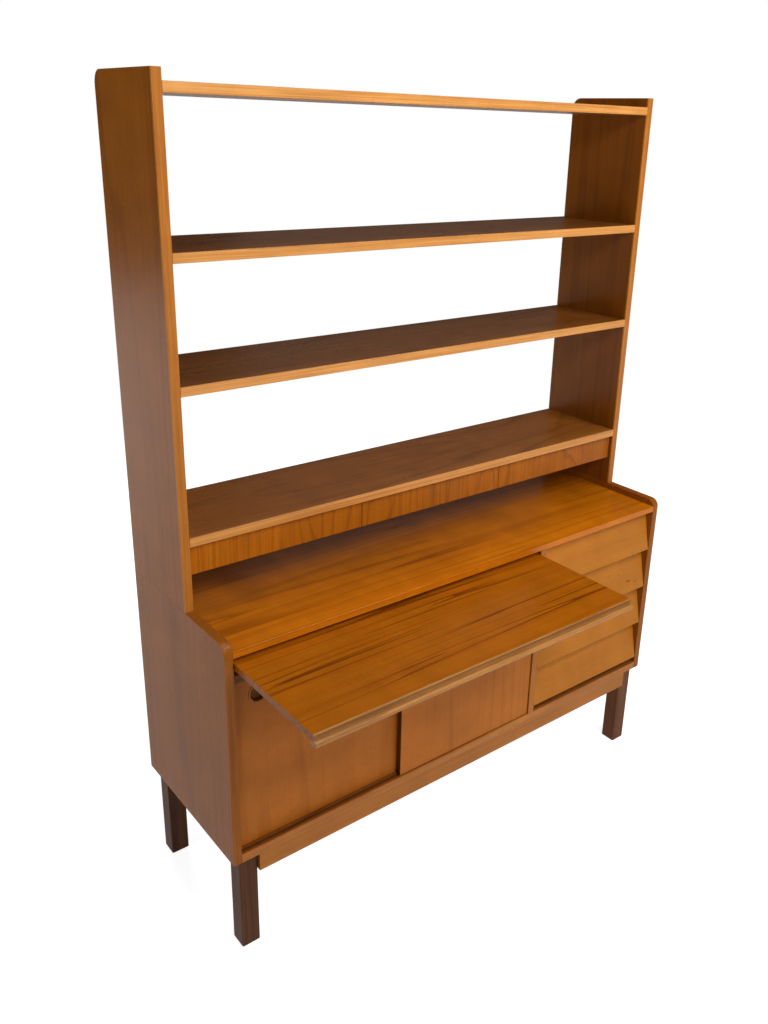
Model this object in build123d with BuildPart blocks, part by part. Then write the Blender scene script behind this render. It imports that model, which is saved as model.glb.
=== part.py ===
from build123d import *
import math
import os

# Teak bookcase-secretary: a deep lower cabinet on four legs with sliding doors, a writing
# slide and four louvre-fronted drawers, and a shallower open bookcase above it.
# Millimetres. X runs to the right, Y to the back, Z up; the object stands on Z = 0.
# The origin is the centre of the floor area that it covers with the writing slide drawn out.

# ---- driving dimensions -------------------------------------------------------------------

WIDTH = 1250.0
HEIGHT = 1700.0
DEPTH = 392.0                # lower cabinet, front edge to back
UPPER_DEPTH = 236.5          # bookcase, front edge to back

SIDE = 18.5                  # side panels and partition
SHELF = 18.0                 # bookcase boards and slide deck
WORKTOP = 15.0
FLOOR = 19.0                 # cabinet floor
THIN_PANEL = 5.0             # back panels

LEG = 41.0                   # square legs
LEG_INSET_X = 17.0
LEG_INSET_FRONT = 11.0
LEG_INSET_BACK = 4.0
RAIL_HEIGHT = 43.0
RAIL = 20.0

CASE_BOTTOM = 233.0          # underside of the lower cabinet
WORKTOP_BOTTOM = 701.0
STEP_TOP = 732.0             # top edge of the lower sides, joint with the upper sides
LOWER_SHELF_BOTTOM = 865.0
MIDDLE_SHELF_BOTTOM = 1158.5
UPPER_SHELF_BOTTOM = 1392.5
TOP_BOARD_BOTTOM = 1662.0

DOOR_OPENING = 801.0         # left side to partition
DOOR = 14.0                  # door thickness
DOOR_RECESS = 4.0            # front track behind the cabinet's front plane
DOOR_GAP = 3.0               # between the two doors
DOOR_OVERLAP = 12.5
PULL_RIM = 46.0              # outer diameter of a finger pull
PULL_BOWL = 37.0

SLIDE_OUT = 267.0            # how far the writing slide stands out at rest
SLIDE_TOP = 692.0
SLIDE_BOARD = 15.0
SLIDE_LENGTH = 365.0
BEAD = 8.0                   # projection of the nosing's bead

DRAWER_FIRST = 268.5         # lowest lip of the lowest drawer
DRAWER_PITCH = 108.5
DRAWER_HEIGHT = 105.5
DRAWER_TILT = 22.0           # how far a front leans back over its height
DRAWER_FRONT = 18.0
DRAWER_COUNT = 4

LETTER_COUNT = 3
LETTER_BOTTOM = 802.5
LETTER_HEIGHT = 61.0
LETTER_RECESS = 10.0         # fronts behind the shelf's front edge
LETTER_FRONT = 12.0

EASE = 1.0                   # rounding of the visible long edges
DOWEL_RADIUS = 4.0
FIT = 0.5                    # running clearance
SNUG = 0.2                   # clearance of fixed pegs and tongues

# ---- derived places -----------------------------------------------------------------------

LEFT = -WIDTH / 2
RIGHT = WIDTH / 2
IN_LEFT = LEFT + SIDE
IN_RIGHT = RIGHT - SIDE
PARTITION_LEFT = IN_LEFT + DOOR_OPENING
PARTITION_RIGHT = PARTITION_LEFT + SIDE

FRONT = (SLIDE_OUT + BEAD - DEPTH) / 2
BACK = FRONT + DEPTH
UPPER_FRONT = BACK - UPPER_DEPTH
PANEL_FRONT = BACK - THIN_PANEL

FLOOR_TOP = CASE_BOTTOM + FLOOR
WORKTOP_TOP = WORKTOP_BOTTOM + WORKTOP
SLIDE_BOTTOM = SLIDE_TOP - SLIDE_BOARD
DECK_TOP = SLIDE_BOTTOM - 13.0
DECK_BOTTOM = DECK_TOP - SHELF
SET_BACK = 1.0               # rails and slide deck stand this much behind the front plane

os.makedirs("parts", exist_ok=True)


def save(piece, label):
    """Name a finished piece and write it to its own file."""
    piece.part.label = label
    export_step(piece.part, f"parts/{label}.step")


def plank(x0, x1, y0, y1, z0, z1, mode=Mode.ADD):
    """Add or cut a straight board between two corners, in the part being built."""
    with BuildSketch(Plane.XY.offset(z0)) as outline:
        with Locations(((x0 + x1) / 2, (y0 + y1) / 2)):
            Rectangle(x1 - x0, y1 - y0)
    extrude(outline.sketch, amount=z1 - z0, mode=mode)


def peg(x, y, z, direction, radius, length, mode=Mode.ADD):
    """Add or cut a cylinder that starts at a point and runs in a direction."""
    with BuildSketch(Plane(origin=(x, y, z), z_dir=direction)) as round_section:
        Circle(radius)
    extrude(round_section.sketch, amount=length, mode=mode)


def front_long_edges(piece):
    """The long edges, along X, of a board's front face."""
    return piece.faces().sort_by(Axis.Y)[0].edges().filter_by(Axis.X)


# ---- dowelled joints ----------------------------------------------------------------------

DOWEL_IN_SIDE = 12.0
DOWEL_IN_BOARD = 18.0
STEP_DOWEL_DEPTH = 20.0
UPPER_DOWEL_INSET = 45.0     # from the board's front and back edges
LOWER_DOWEL_INSET = 60.0

UPPER_DOWEL_YS = (UPPER_FRONT + UPPER_DOWEL_INSET, BACK - UPPER_DOWEL_INSET)
LOWER_DOWEL_YS = (FRONT + LOWER_DOWEL_INSET, BACK - LOWER_DOWEL_INSET)
UPPER_BOARD_ZS = tuple(
    bottom + SHELF / 2
    for bottom in (LOWER_SHELF_BOTTOM, MIDDLE_SHELF_BOTTOM, UPPER_SHELF_BOTTOM, TOP_BOARD_BOTTOM)
)
LOWER_BOARD_ZS = ((CASE_BOTTOM + FLOOR_TOP) / 2, (WORKTOP_BOTTOM + WORKTOP_TOP) / 2)
INNER_FACES = ((IN_LEFT, 1), (IN_RIGHT, -1))


def cut_dowel_holes(ys, zs, x, direction, depth):
    """Blind holes in the face at x, drilled along X in the given direction."""
    for y in ys:
        for z in zs:
            peg(x, y, z, (direction, 0, 0), DOWEL_RADIUS + SNUG, depth + FIT, Mode.SUBTRACT)


with BuildPart() as dowels:
    for ys, zs in ((UPPER_DOWEL_YS, UPPER_BOARD_ZS), (LOWER_DOWEL_YS, LOWER_BOARD_ZS)):
        for y in ys:
            for z in zs:
                for x, inward in INNER_FACES:
                    start = x - inward * DOWEL_IN_SIDE
                    length = DOWEL_IN_SIDE + DOWEL_IN_BOARD
                    peg(start, y, z, (inward, 0, 0), DOWEL_RADIUS, length)
    for x in (LEFT + SIDE / 2, RIGHT - SIDE / 2):
        for y in UPPER_DOWEL_YS:
            peg(x, y, STEP_TOP - STEP_DOWEL_DEPTH, (0, 0, 1), DOWEL_RADIUS, 2 * STEP_DOWEL_DEPTH)
save(dowels, "dowels")


# ---- lower cabinet sides ------------------------------------------------------------------

STEP_CORNER = 20.0           # rounded front corner on top of the lower sides
SHELF_PIN_RADIUS = 2.5
SHELF_PIN_DEPTH = 10.0       # in the wall
SHELF_PIN_PROUD = 9.0        # under the shelf
SHELF_PIN_Z = 438.0
SHELF_PIN_YS = (FRONT + 90.0, BACK - 60.0)


def lower_side(inner_x, inward):
    """One deep side panel; inward is +1 for the left one and -1 for the right one."""
    outer_x = inner_x - inward * SIDE
    with BuildPart() as side:
        with BuildSketch(Plane.YZ.offset(min(inner_x, outer_x))) as profile:
            with Locations(((FRONT + BACK) / 2, (CASE_BOTTOM + STEP_TOP) / 2)):
                Rectangle(DEPTH, STEP_TOP - CASE_BOTTOM)
            front_top = profile.vertices().group_by(Axis.Y)[-1].sort_by(Axis.X)[0]
            fillet(front_top, STEP_CORNER)
        extrude(amount=SIDE)
        fillet(side.faces().sort_by(Axis.Y)[0].edges().filter_by(Axis.Z), EASE)
        cut_dowel_holes(LOWER_DOWEL_YS, LOWER_BOARD_ZS, inner_x, -inward, DOWEL_IN_SIDE)
        for y in UPPER_DOWEL_YS:
            peg(
                inner_x - inward * SIDE / 2, y, STEP_TOP, (0, 0, -1),
                DOWEL_RADIUS + SNUG, STEP_DOWEL_DEPTH + FIT, Mode.SUBTRACT,
            )
        if inward > 0:
            cut_pin_holes(inner_x, -1)
    return side


def cut_pin_holes(x, direction):
    """Holes for the two shelf pins in the cupboard wall at x."""
    for y in SHELF_PIN_YS:
        peg(
            x, y, SHELF_PIN_Z, (direction, 0, 0),
            SHELF_PIN_RADIUS + SNUG, SHELF_PIN_DEPTH + FIT, Mode.SUBTRACT,
        )


save(lower_side(IN_LEFT, 1), "lower_side_left")
save(lower_side(IN_RIGHT, -1), "lower_side_right")


# ---- bookcase sides -----------------------------------------------------------------------

TOP_CORNER = 24.0            # rounded rear corner on top of the upper sides


def upper_side(inner_x, inward):
    """One shallow bookcase side, standing on the lower side behind the step."""
    outer_x = inner_x - inward * SIDE
    with BuildPart() as side:
        with BuildSketch(Plane.YZ.offset(min(inner_x, outer_x))) as profile:
            with Locations(((UPPER_FRONT + BACK) / 2, (STEP_TOP + HEIGHT) / 2)):
                Rectangle(UPPER_DEPTH, HEIGHT - STEP_TOP)
            rear_top = profile.vertices().group_by(Axis.Y)[-1].sort_by(Axis.X)[-1]
            fillet(rear_top, TOP_CORNER)
        extrude(amount=SIDE)
        fillet(side.faces().sort_by(Axis.Y)[0].edges().filter_by(Axis.Z), EASE)
        cut_dowel_holes(UPPER_DOWEL_YS, UPPER_BOARD_ZS, inner_x, -inward, DOWEL_IN_SIDE)
        for y in UPPER_DOWEL_YS:
            peg(
                inner_x - inward * SIDE / 2, y, STEP_TOP, (0, 0, 1),
                DOWEL_RADIUS + SNUG, STEP_DOWEL_DEPTH + FIT, Mode.SUBTRACT,
            )
    return side


save(upper_side(IN_LEFT, 1), "upper_side_left")
save(upper_side(IN_RIGHT, -1), "upper_side_right")


# ---- bookcase boards ----------------------------------------------------------------------


def bookcase_board(bottom):
    """A full-depth board between the upper sides, dowelled at both ends."""
    with BuildPart() as board:
        plank(IN_LEFT, IN_RIGHT, UPPER_FRONT, BACK, bottom, bottom + SHELF)
        fillet(front_long_edges(board), EASE)
        for x, inward in INNER_FACES:
            cut_dowel_holes(UPPER_DOWEL_YS, (bottom + SHELF / 2,), x, inward, DOWEL_IN_BOARD)
    return board


save(bookcase_board(TOP_BOARD_BOTTOM), "top_board")
save(bookcase_board(UPPER_SHELF_BOTTOM), "upper_shelf")
save(bookcase_board(MIDDLE_SHELF_BOTTOM), "middle_shelf")
save(bookcase_board(LOWER_SHELF_BOTTOM), "lower_shelf")


# ---- worktop, cabinet floor, partition ----------------------------------------------------

PANEL_SCREW_RADIUS = 3.5     # sunk heads of the screws in the cabinet's back panel
PANEL_SCREW_SUNK = 1.2
PANEL_SCREW_COUNT = 7
PANEL_SCREW_INSET = 12.0
PANEL_SCREW_STEP = (IN_RIGHT - IN_LEFT - 2 * PANEL_SCREW_INSET) / (PANEL_SCREW_COUNT - 1)
PANEL_SCREW_PLACES = [
    (IN_LEFT + PANEL_SCREW_INSET + number * PANEL_SCREW_STEP, z)
    for number in range(PANEL_SCREW_COUNT)
    for z in (CASE_BOTTOM + FLOOR / 2, WORKTOP_BOTTOM - PANEL_SCREW_INSET)
]

with BuildPart() as worktop:
    plank(IN_LEFT, IN_RIGHT, FRONT, BACK, WORKTOP_BOTTOM, WORKTOP_TOP)
    fillet(front_long_edges(worktop), EASE)
    for x, inward in INNER_FACES:
        cut_dowel_holes(LOWER_DOWEL_YS, LOWER_BOARD_ZS[1:], x, inward, DOWEL_IN_BOARD)
save(worktop, "worktop")

# Sliding doors: tongues at top and bottom run in grooves of the floor and of the slide deck.
TONGUE = 7.0
TONGUE_SETBACK = (DOOR - TONGUE) / 2
GROOVE_DEPTH_FLOOR = 5.0
GROOVE_DEPTH_DECK = 10.0
RIGHT_DOOR_FRONT = FRONT + DOOR_RECESS
LEFT_DOOR_FRONT = RIGHT_DOOR_FRONT + DOOR + DOOR_GAP


def cut_door_grooves(z0, z1):
    """The two parallel grooves that guide the door tongues."""
    for door_front in (RIGHT_DOOR_FRONT, LEFT_DOOR_FRONT):
        groove_front = door_front + TONGUE_SETBACK - FIT
        groove_back = groove_front + TONGUE + 2 * FIT
        plank(IN_LEFT, PARTITION_LEFT, groove_front, groove_back, z0, z1, Mode.SUBTRACT)


with BuildPart() as bottom_panel:
    plank(IN_LEFT, IN_RIGHT, FRONT, PANEL_FRONT, CASE_BOTTOM, FLOOR_TOP)
    fillet(front_long_edges(bottom_panel).sort_by(Axis.Z)[-1], EASE)
    cut_door_grooves(FLOOR_TOP - GROOVE_DEPTH_FLOOR, FLOOR_TOP)
    for x, inward in INNER_FACES:
        cut_dowel_holes(LOWER_DOWEL_YS, LOWER_BOARD_ZS[:1], x, inward, DOWEL_IN_BOARD)
save(bottom_panel, "bottom_panel")

with BuildPart() as partition:
    plank(PARTITION_LEFT, PARTITION_RIGHT, FRONT, PANEL_FRONT, FLOOR_TOP, WORKTOP_BOTTOM)
    fillet(partition.faces().sort_by(Axis.Y)[0].edges().filter_by(Axis.Z), EASE)
    cut_pin_holes(PARTITION_LEFT, 1)
save(partition, "partition")

with BuildPart() as slide_deck:
    plank(IN_LEFT, PARTITION_LEFT, FRONT + SET_BACK, PANEL_FRONT, DECK_BOTTOM, DECK_TOP)
    cut_door_grooves(DECK_BOTTOM, DECK_BOTTOM + GROOVE_DEPTH_DECK)
save(slide_deck, "slide_deck")

with BuildPart() as lower_back_panel:
    plank(IN_LEFT, IN_RIGHT, PANEL_FRONT, BACK, CASE_BOTTOM, WORKTOP_BOTTOM)
    for x, z in PANEL_SCREW_PLACES:
        peg(
            x, BACK, z, (0, -1, 0), PANEL_SCREW_RADIUS + SNUG,
            PANEL_SCREW_SUNK + SNUG, Mode.SUBTRACT,
        )
save(lower_back_panel, "lower_back_panel")

CUPBOARD_SHELF_THICK = 15.0
CUPBOARD_SHELF_BOTTOM = SHELF_PIN_Z + SHELF_PIN_RADIUS
CUPBOARD_SHELF_FRONT = FRONT + 55.0      # clear of the rear door
CUPBOARD_SHELF_GAP = 1.0

with BuildPart() as cupboard_shelf:
    plank(
        IN_LEFT + CUPBOARD_SHELF_GAP, PARTITION_LEFT - CUPBOARD_SHELF_GAP,
        CUPBOARD_SHELF_FRONT, PANEL_FRONT - 2 * CUPBOARD_SHELF_GAP,
        CUPBOARD_SHELF_BOTTOM, CUPBOARD_SHELF_BOTTOM + CUPBOARD_SHELF_THICK,
    )
    fillet(front_long_edges(cupboard_shelf), EASE)
save(cupboard_shelf, "cupboard_shelf")

with BuildPart() as shelf_pins:
    for x, outward in ((IN_LEFT, -1), (PARTITION_LEFT, 1)):
        for y in SHELF_PIN_YS:
            start = x + outward * SHELF_PIN_DEPTH
            length = SHELF_PIN_DEPTH + SHELF_PIN_PROUD
            peg(start, y, SHELF_PIN_Z, (-outward, 0, 0), SHELF_PIN_RADIUS, length)
save(shelf_pins, "shelf_pins")


# ---- base: legs, rails, corner blocks, screws ---------------------------------------------

FRONT_LEG_Y = FRONT + LEG_INSET_FRONT
REAR_LEG_Y = BACK - LEG_INSET_BACK - LEG
LEFT_LEG_X = LEFT + LEG_INSET_X
RIGHT_LEG_X = RIGHT - LEG_INSET_X - LEG
RAIL_BOTTOM = CASE_BOTTOM - RAIL_HEIGHT
FRONT_RAIL_FACE = FRONT + SET_BACK
REAR_RAIL_BACK = REAR_LEG_Y + LEG - 8.0
SIDE_RAIL_INSET = 10.0       # behind the legs' outer faces
LEG_CORNER = 3.0
LEG_FOOT_CHAMFER = 4.0
BLOCK = 40.0
BLOCK_HEIGHT = 34.0
SCREW_RADIUS = 2.5
SCREW_HEAD_RADIUS = 5.0
SCREW_HEAD = 3.0
SCREW_LENGTH = 60.0
SCREW_DROPS = (9.0, 25.0)    # below the underside of the cabinet


def leg(x, y):
    """A straight square leg with eased corners and a chamfered foot."""
    with BuildPart() as post:
        plank(x, x + LEG, y, y + LEG, 0, CASE_BOTTOM)
        chamfer(post.faces().sort_by(Axis.Z)[0].edges(), LEG_FOOT_CHAMFER)
        uprights = post.edges().filter_by(Axis.X, reverse=True).filter_by(Axis.Y, reverse=True)
        fillet(uprights, LEG_CORNER)
        side = 1 if x < 0 else -1
        inner_x = x + LEG if side > 0 else x
        for drop in SCREW_DROPS:
            peg(
                inner_x, block_middle(y), CASE_BOTTOM - drop, (-side, 0, 0),
                SCREW_RADIUS + SNUG, SCREW_LENGTH - BLOCK + FIT, Mode.SUBTRACT,
            )
    return post


def block_front(leg_y):
    """Front face of the corner block that stands beside the leg at leg_y."""
    return FRONT_RAIL_FACE + RAIL if leg_y < 0 else REAR_RAIL_BACK - RAIL - BLOCK


def block_middle(leg_y):
    """Middle of the stretch that a leg and its corner block share."""
    low = max(leg_y, block_front(leg_y))
    high = min(leg_y + LEG, block_front(leg_y) + BLOCK)
    return (low + high) / 2


LEG_PLACES = {
    "front_left_leg": (LEFT_LEG_X, FRONT_LEG_Y),
    "front_right_leg": (RIGHT_LEG_X, FRONT_LEG_Y),
    "rear_left_leg": (LEFT_LEG_X, REAR_LEG_Y),
    "rear_right_leg": (RIGHT_LEG_X, REAR_LEG_Y),
}
for leg_name, (leg_x, leg_y) in LEG_PLACES.items():
    save(leg(leg_x, leg_y), leg_name)

INNER_LEG_LEFT = LEFT_LEG_X + LEG
INNER_LEG_RIGHT = RIGHT_LEG_X

with BuildPart() as front_rail:
    plank(
        INNER_LEG_LEFT, INNER_LEG_RIGHT, FRONT_RAIL_FACE, FRONT_RAIL_FACE + RAIL,
        RAIL_BOTTOM, CASE_BOTTOM,
    )
    fillet(front_long_edges(front_rail).sort_by(Axis.Z)[0], EASE)
save(front_rail, "front_rail")

with BuildPart() as rear_rail:
    plank(
        INNER_LEG_LEFT, INNER_LEG_RIGHT, REAR_RAIL_BACK - RAIL, REAR_RAIL_BACK,
        RAIL_BOTTOM, CASE_BOTTOM,
    )
save(rear_rail, "rear_rail")

with BuildPart() as side_rails:
    for x in (LEFT_LEG_X + SIDE_RAIL_INSET, RIGHT_LEG_X + LEG - SIDE_RAIL_INSET - RAIL):
        plank(x, x + RAIL, FRONT_LEG_Y + LEG, REAR_LEG_Y, RAIL_BOTTOM, CASE_BOTTOM)
save(side_rails, "side_rails")

with BuildPart() as corner_blocks:
    for leg_x, leg_y in LEG_PLACES.values():
        side = 1 if leg_x < 0 else -1
        x0 = leg_x + LEG if side > 0 else leg_x - BLOCK
        y0 = block_front(leg_y)
        plank(x0, x0 + BLOCK, y0, y0 + BLOCK, CASE_BOTTOM - BLOCK_HEIGHT, CASE_BOTTOM)
        for drop in SCREW_DROPS:
            peg(
                leg_x + LEG / 2, block_middle(leg_y), CASE_BOTTOM - drop, (side, 0, 0),
                SCREW_RADIUS + SNUG, LEG / 2 + BLOCK + 1, Mode.SUBTRACT,
            )
save(corner_blocks, "corner_blocks")

with BuildPart() as wood_screws:
    for leg_x, leg_y in LEG_PLACES.values():
        side = 1 if leg_x < 0 else -1
        head_face = leg_x + LEG + BLOCK if side > 0 else leg_x - BLOCK
        for drop in SCREW_DROPS:
            y = block_middle(leg_y)
            z = CASE_BOTTOM - drop
            peg(head_face, y, z, (-side, 0, 0), SCREW_RADIUS, SCREW_LENGTH)
            peg(head_face, y, z, (side, 0, 0), SCREW_HEAD_RADIUS, SCREW_HEAD)
    for x, z in PANEL_SCREW_PLACES:
        peg(x, BACK, z, (0, -1, 0), PANEL_SCREW_RADIUS, PANEL_SCREW_SUNK)
save(wood_screws, "wood_screws")


# ---- sliding doors and their finger pulls -------------------------------------------------

DOOR_BOTTOM = FLOOR_TOP + 1.5
DOOR_TOP = DECK_BOTTOM - 1.0
DOOR_MIDDLE = IN_LEFT + DOOR_OPENING / 2
TONGUE_LOW = FLOOR_TOP - GROOVE_DEPTH_FLOOR + FIT
TONGUE_HIGH = DECK_BOTTOM + 6.0          # the rest of the upper groove lets the door lift out
TONGUE_INSET = 3.0           # from the door's upright edges
PULL_Z = 596.0
PULL_FROM_EDGE = 60.5        # pull centre from the door's outer edge
PULL_DEPTH = 10.0
PULL_FLOOR = 1.6             # thickness of the bowl's bottom
PULL_PROUD = 0.8             # the rim stands this much proud of the door
PULL_RIM_EASE = 0.6
PULL_MOUTH_FLARE = 0.8       # the bowl is this much wider at its mouth
PULL_WALL_TAPER = 1.0        # and narrower at the foot of its wall
PULL_DISH = 2.5              # run and rise of the bevel between wall and bottom


def sliding_door(x0, x1, door_front, pull_x):
    """A flush door with thinner tongues along its top and bottom edges."""
    with BuildPart() as door:
        plank(x0, x1, door_front, door_front + DOOR, DOOR_BOTTOM, DOOR_TOP)
        fillet(door.edges().filter_by(Axis.Z), EASE)
        tongue_front = door_front + TONGUE_SETBACK
        for z0, z1 in ((TONGUE_LOW, DOOR_BOTTOM), (DOOR_TOP, TONGUE_HIGH)):
            plank(
                x0 + TONGUE_INSET, x1 - TONGUE_INSET,
                tongue_front, tongue_front + TONGUE, z0, z1,
            )
        bore_depth = PULL_DEPTH + PULL_FLOOR + FIT
        peg(
            pull_x, door_front, PULL_Z, (0, 1, 0),
            PULL_RIM / 2 + SNUG, bore_depth, Mode.SUBTRACT,
        )
    return door


def finger_pull(pull_x, door_front):
    """A turned wooden cup let into the door, with a slightly dished bowl and a rim."""
    bowl = PULL_BOWL / 2
    rim = PULL_RIM / 2
    depth = PULL_DEPTH + PULL_FLOOR
    centre = (pull_x, door_front, PULL_Z)
    with BuildPart() as cup:
        with BuildSketch(Plane(origin=centre, x_dir=(1, 0, 0), z_dir=(0, 0, 1))):
            with BuildLine():
                Polyline(
                    (0, depth), (rim, depth), (rim, PULL_RIM_EASE - PULL_PROUD),
                    (rim - PULL_RIM_EASE, -PULL_PROUD), (bowl + PULL_MOUTH_FLARE, -PULL_PROUD),
                    (bowl, PULL_RIM_EASE), (bowl - PULL_WALL_TAPER, PULL_DEPTH - PULL_DISH),
                    (bowl - PULL_WALL_TAPER - PULL_DISH, PULL_DEPTH), (0, PULL_DEPTH),
                    (0, depth),
                )
            make_face()
        revolve(axis=Axis(centre, (0, 1, 0)))
    return cup


LEFT_DOOR_X = IN_LEFT + FIT
RIGHT_DOOR_END = PARTITION_LEFT - 2 * FIT
LEFT_PULL_X = LEFT_DOOR_X + PULL_FROM_EDGE
RIGHT_PULL_X = RIGHT_DOOR_END - PULL_FROM_EDGE

left_door = sliding_door(
    LEFT_DOOR_X, DOOR_MIDDLE + DOOR_OVERLAP, LEFT_DOOR_FRONT, LEFT_PULL_X
)
save(left_door, "left_door")
right_door = sliding_door(DOOR_MIDDLE - FIT, RIGHT_DOOR_END, RIGHT_DOOR_FRONT, RIGHT_PULL_X)
save(right_door, "right_door")
save(finger_pull(LEFT_PULL_X, LEFT_DOOR_FRONT), "left_door_pull")
save(finger_pull(RIGHT_PULL_X, RIGHT_DOOR_FRONT), "right_door_pull")


# ---- writing slide ------------------------------------------------------------------------

SLIDE_FRONT = FRONT - SLIDE_OUT
SLIDE_LEFT = IN_LEFT + 2 * FIT
SLIDE_RIGHT = PARTITION_LEFT - 2 * FIT
NOSING_BOTTOM = SLIDE_TOP - 25.5
NOSING_LAND = 3.0            # width of the nosing's flat top, flush with the board
NOSING_UNDER = 12.0          # how far the nosing reaches back under the board
NOSING_LIP = 2.2             # height of the square lip at the top
NOSING_BEVEL = 3.0           # rise and half the run of the bevel behind the bead
COVE_DEPTH = 2.0             # how far the cove bites in behind the lip
COVE_MIDDLE = 6.6            # drops below the board's top
COVE_BOTTOM = 11.5
BEAD_SHOULDER = 13.0
BEAD_FRONT = 18.0
BEAD_HIP = 23.0
BATTEN = 12.0
RUNNER_FRONT = FRONT + NOSING_UNDER + 2.0
STOP_WIDTH = 20.0            # stop batten under the board's rear edge
STOP_INSET = 60.0            # its ends, from the ends of the board
STOP_FRONT = SLIDE_FRONT + SLIDE_LENGTH - STOP_WIDTH
STOP_CLEAR = 2.0             # above the deck, and of the cleat below the board

with BuildPart() as writing_slide_board:
    plank(
        SLIDE_LEFT, SLIDE_RIGHT, SLIDE_FRONT + NOSING_LAND, SLIDE_FRONT + SLIDE_LENGTH,
        SLIDE_BOTTOM, SLIDE_TOP,
    )
save(writing_slide_board, "writing_slide_board")

# The nosing's section, seen from the left: a square lip at the top, a cove for the
# fingertips, and a round bead that hangs below the board.
with BuildPart() as writing_slide_nosing:
    with BuildSketch(Plane.YZ.offset(SLIDE_LEFT)) as nosing_section:
        with BuildLine():
            lip_bottom = (SLIDE_FRONT, SLIDE_TOP - NOSING_LIP)
            cove_middle = (SLIDE_FRONT + COVE_DEPTH, SLIDE_TOP - COVE_MIDDLE)
            bead_top = (SLIDE_FRONT + 0.4 * COVE_DEPTH, SLIDE_TOP - COVE_BOTTOM)
            bead_shoulder = (SLIDE_FRONT - 0.58 * BEAD, SLIDE_TOP - BEAD_SHOULDER)
            bead_front = (SLIDE_FRONT - BEAD, SLIDE_TOP - BEAD_FRONT)
            bead_hip = (SLIDE_FRONT - 0.78 * BEAD, SLIDE_TOP - BEAD_HIP)
            bead_bottom = (SLIDE_FRONT - 0.19 * BEAD, NOSING_BOTTOM)
            Polyline(
                lip_bottom, (SLIDE_FRONT, SLIDE_TOP), (SLIDE_FRONT + NOSING_LAND, SLIDE_TOP),
                (SLIDE_FRONT + NOSING_LAND, SLIDE_BOTTOM),
                (SLIDE_FRONT + NOSING_UNDER, SLIDE_BOTTOM),
                (SLIDE_FRONT + NOSING_UNDER, NOSING_BOTTOM + NOSING_BEVEL),
                (SLIDE_FRONT + NOSING_UNDER - NOSING_BEVEL, NOSING_BOTTOM), bead_bottom,
            )
            ThreePointArc(bead_bottom, bead_hip, bead_front)
            ThreePointArc(bead_front, bead_shoulder, bead_top)
            ThreePointArc(bead_top, cove_middle, lip_bottom)
        make_face()
    extrude(amount=SLIDE_RIGHT - SLIDE_LEFT)
save(writing_slide_nosing, "writing_slide_nosing")

with BuildPart() as slide_stop_batten:
    plank(
        SLIDE_LEFT + STOP_INSET, SLIDE_RIGHT - STOP_INSET,
        STOP_FRONT, STOP_FRONT + STOP_WIDTH, DECK_TOP + STOP_CLEAR, SLIDE_BOTTOM,
    )
save(slide_stop_batten, "slide_stop_batten")

# Fixed battens: a runner below and a kicker above each end of the board, and a cleat on the
# deck that the stop batten meets when the slide is fully out.
with BuildPart() as writing_slide_battens:
    for x0 in (IN_LEFT, PARTITION_LEFT - BATTEN):
        plank(x0, x0 + BATTEN, RUNNER_FRONT, PANEL_FRONT, DECK_TOP, SLIDE_BOTTOM - FIT)
        plank(x0, x0 + BATTEN, RUNNER_FRONT, PANEL_FRONT, SLIDE_TOP + FIT, WORKTOP_BOTTOM)
    plank(
        SLIDE_LEFT + STOP_INSET, SLIDE_RIGHT - STOP_INSET,
        STOP_FRONT - STOP_WIDTH - FIT, STOP_FRONT - FIT, DECK_TOP, SLIDE_BOTTOM - STOP_CLEAR,
    )
save(writing_slide_battens, "writing_slide_battens")


# ---- four louvre-fronted drawers ----------------------------------------------------------

DRAWER_SIDE_GAP = 1.25
DRAWER_BOX_GAP = 1.5
DRAWER_WALL = 12.0
DRAWER_BOX_BACK = PANEL_FRONT - 22.0
DRAWER_BOX_LOW = 4.0         # box underside above the lip
DRAWER_BOX_HIGH = 86.0       # box rim above the lip
DRAWER_BACK_DROP = 4.0       # of the rear wall below the rim
DRAWER_PLY = 5.0
DRAWER_PLY_RISE = 8.0        # bottom panel above the box underside
DRAWER_PLY_GROOVE = 4.0
RUNNER_RISE = 40.0           # runner's lower edge above the lip
RUNNER_HEIGHT = 9.0
RUNNER_PROUD = 7.5
RUNNER_START = FRONT + 70.0
RUNNER_END = PANEL_FRONT - 10.0
GROOVE_START = RUNNER_START - 5.0
OVERCUT = 1.0                # grooves are cut this much past the faces that they open in
BOX_LEFT = PARTITION_RIGHT + DRAWER_BOX_GAP
BOX_RIGHT = IN_RIGHT - DRAWER_BOX_GAP
LEAN = DRAWER_TILT / DRAWER_HEIGHT
FRONT_RUN = DRAWER_FRONT / math.cos(math.atan(LEAN))


def front_rear_face(rise):
    """Y of the slanted front's rear face at a height above its lip."""
    return FRONT + FRONT_RUN + rise * LEAN


def drawer_front(lip_z):
    """The slanted front, whose lower lip is the handle."""
    with BuildPart() as front:
        with BuildSketch(Plane.YZ.offset(PARTITION_RIGHT + DRAWER_SIDE_GAP)):
            with BuildLine():
                Polyline(
                    (FRONT, lip_z), (FRONT + FRONT_RUN, lip_z),
                    (front_rear_face(DRAWER_HEIGHT), lip_z + DRAWER_HEIGHT),
                    (FRONT + DRAWER_TILT, lip_z + DRAWER_HEIGHT), (FRONT, lip_z),
                )
            make_face()
        extrude(amount=IN_RIGHT - PARTITION_RIGHT - 2 * DRAWER_SIDE_GAP)
        lip_edge = front.edges().filter_by(Axis.X).sort_by(Axis.Y)[0]
        fillet(lip_edge, EASE)
    return front


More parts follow.
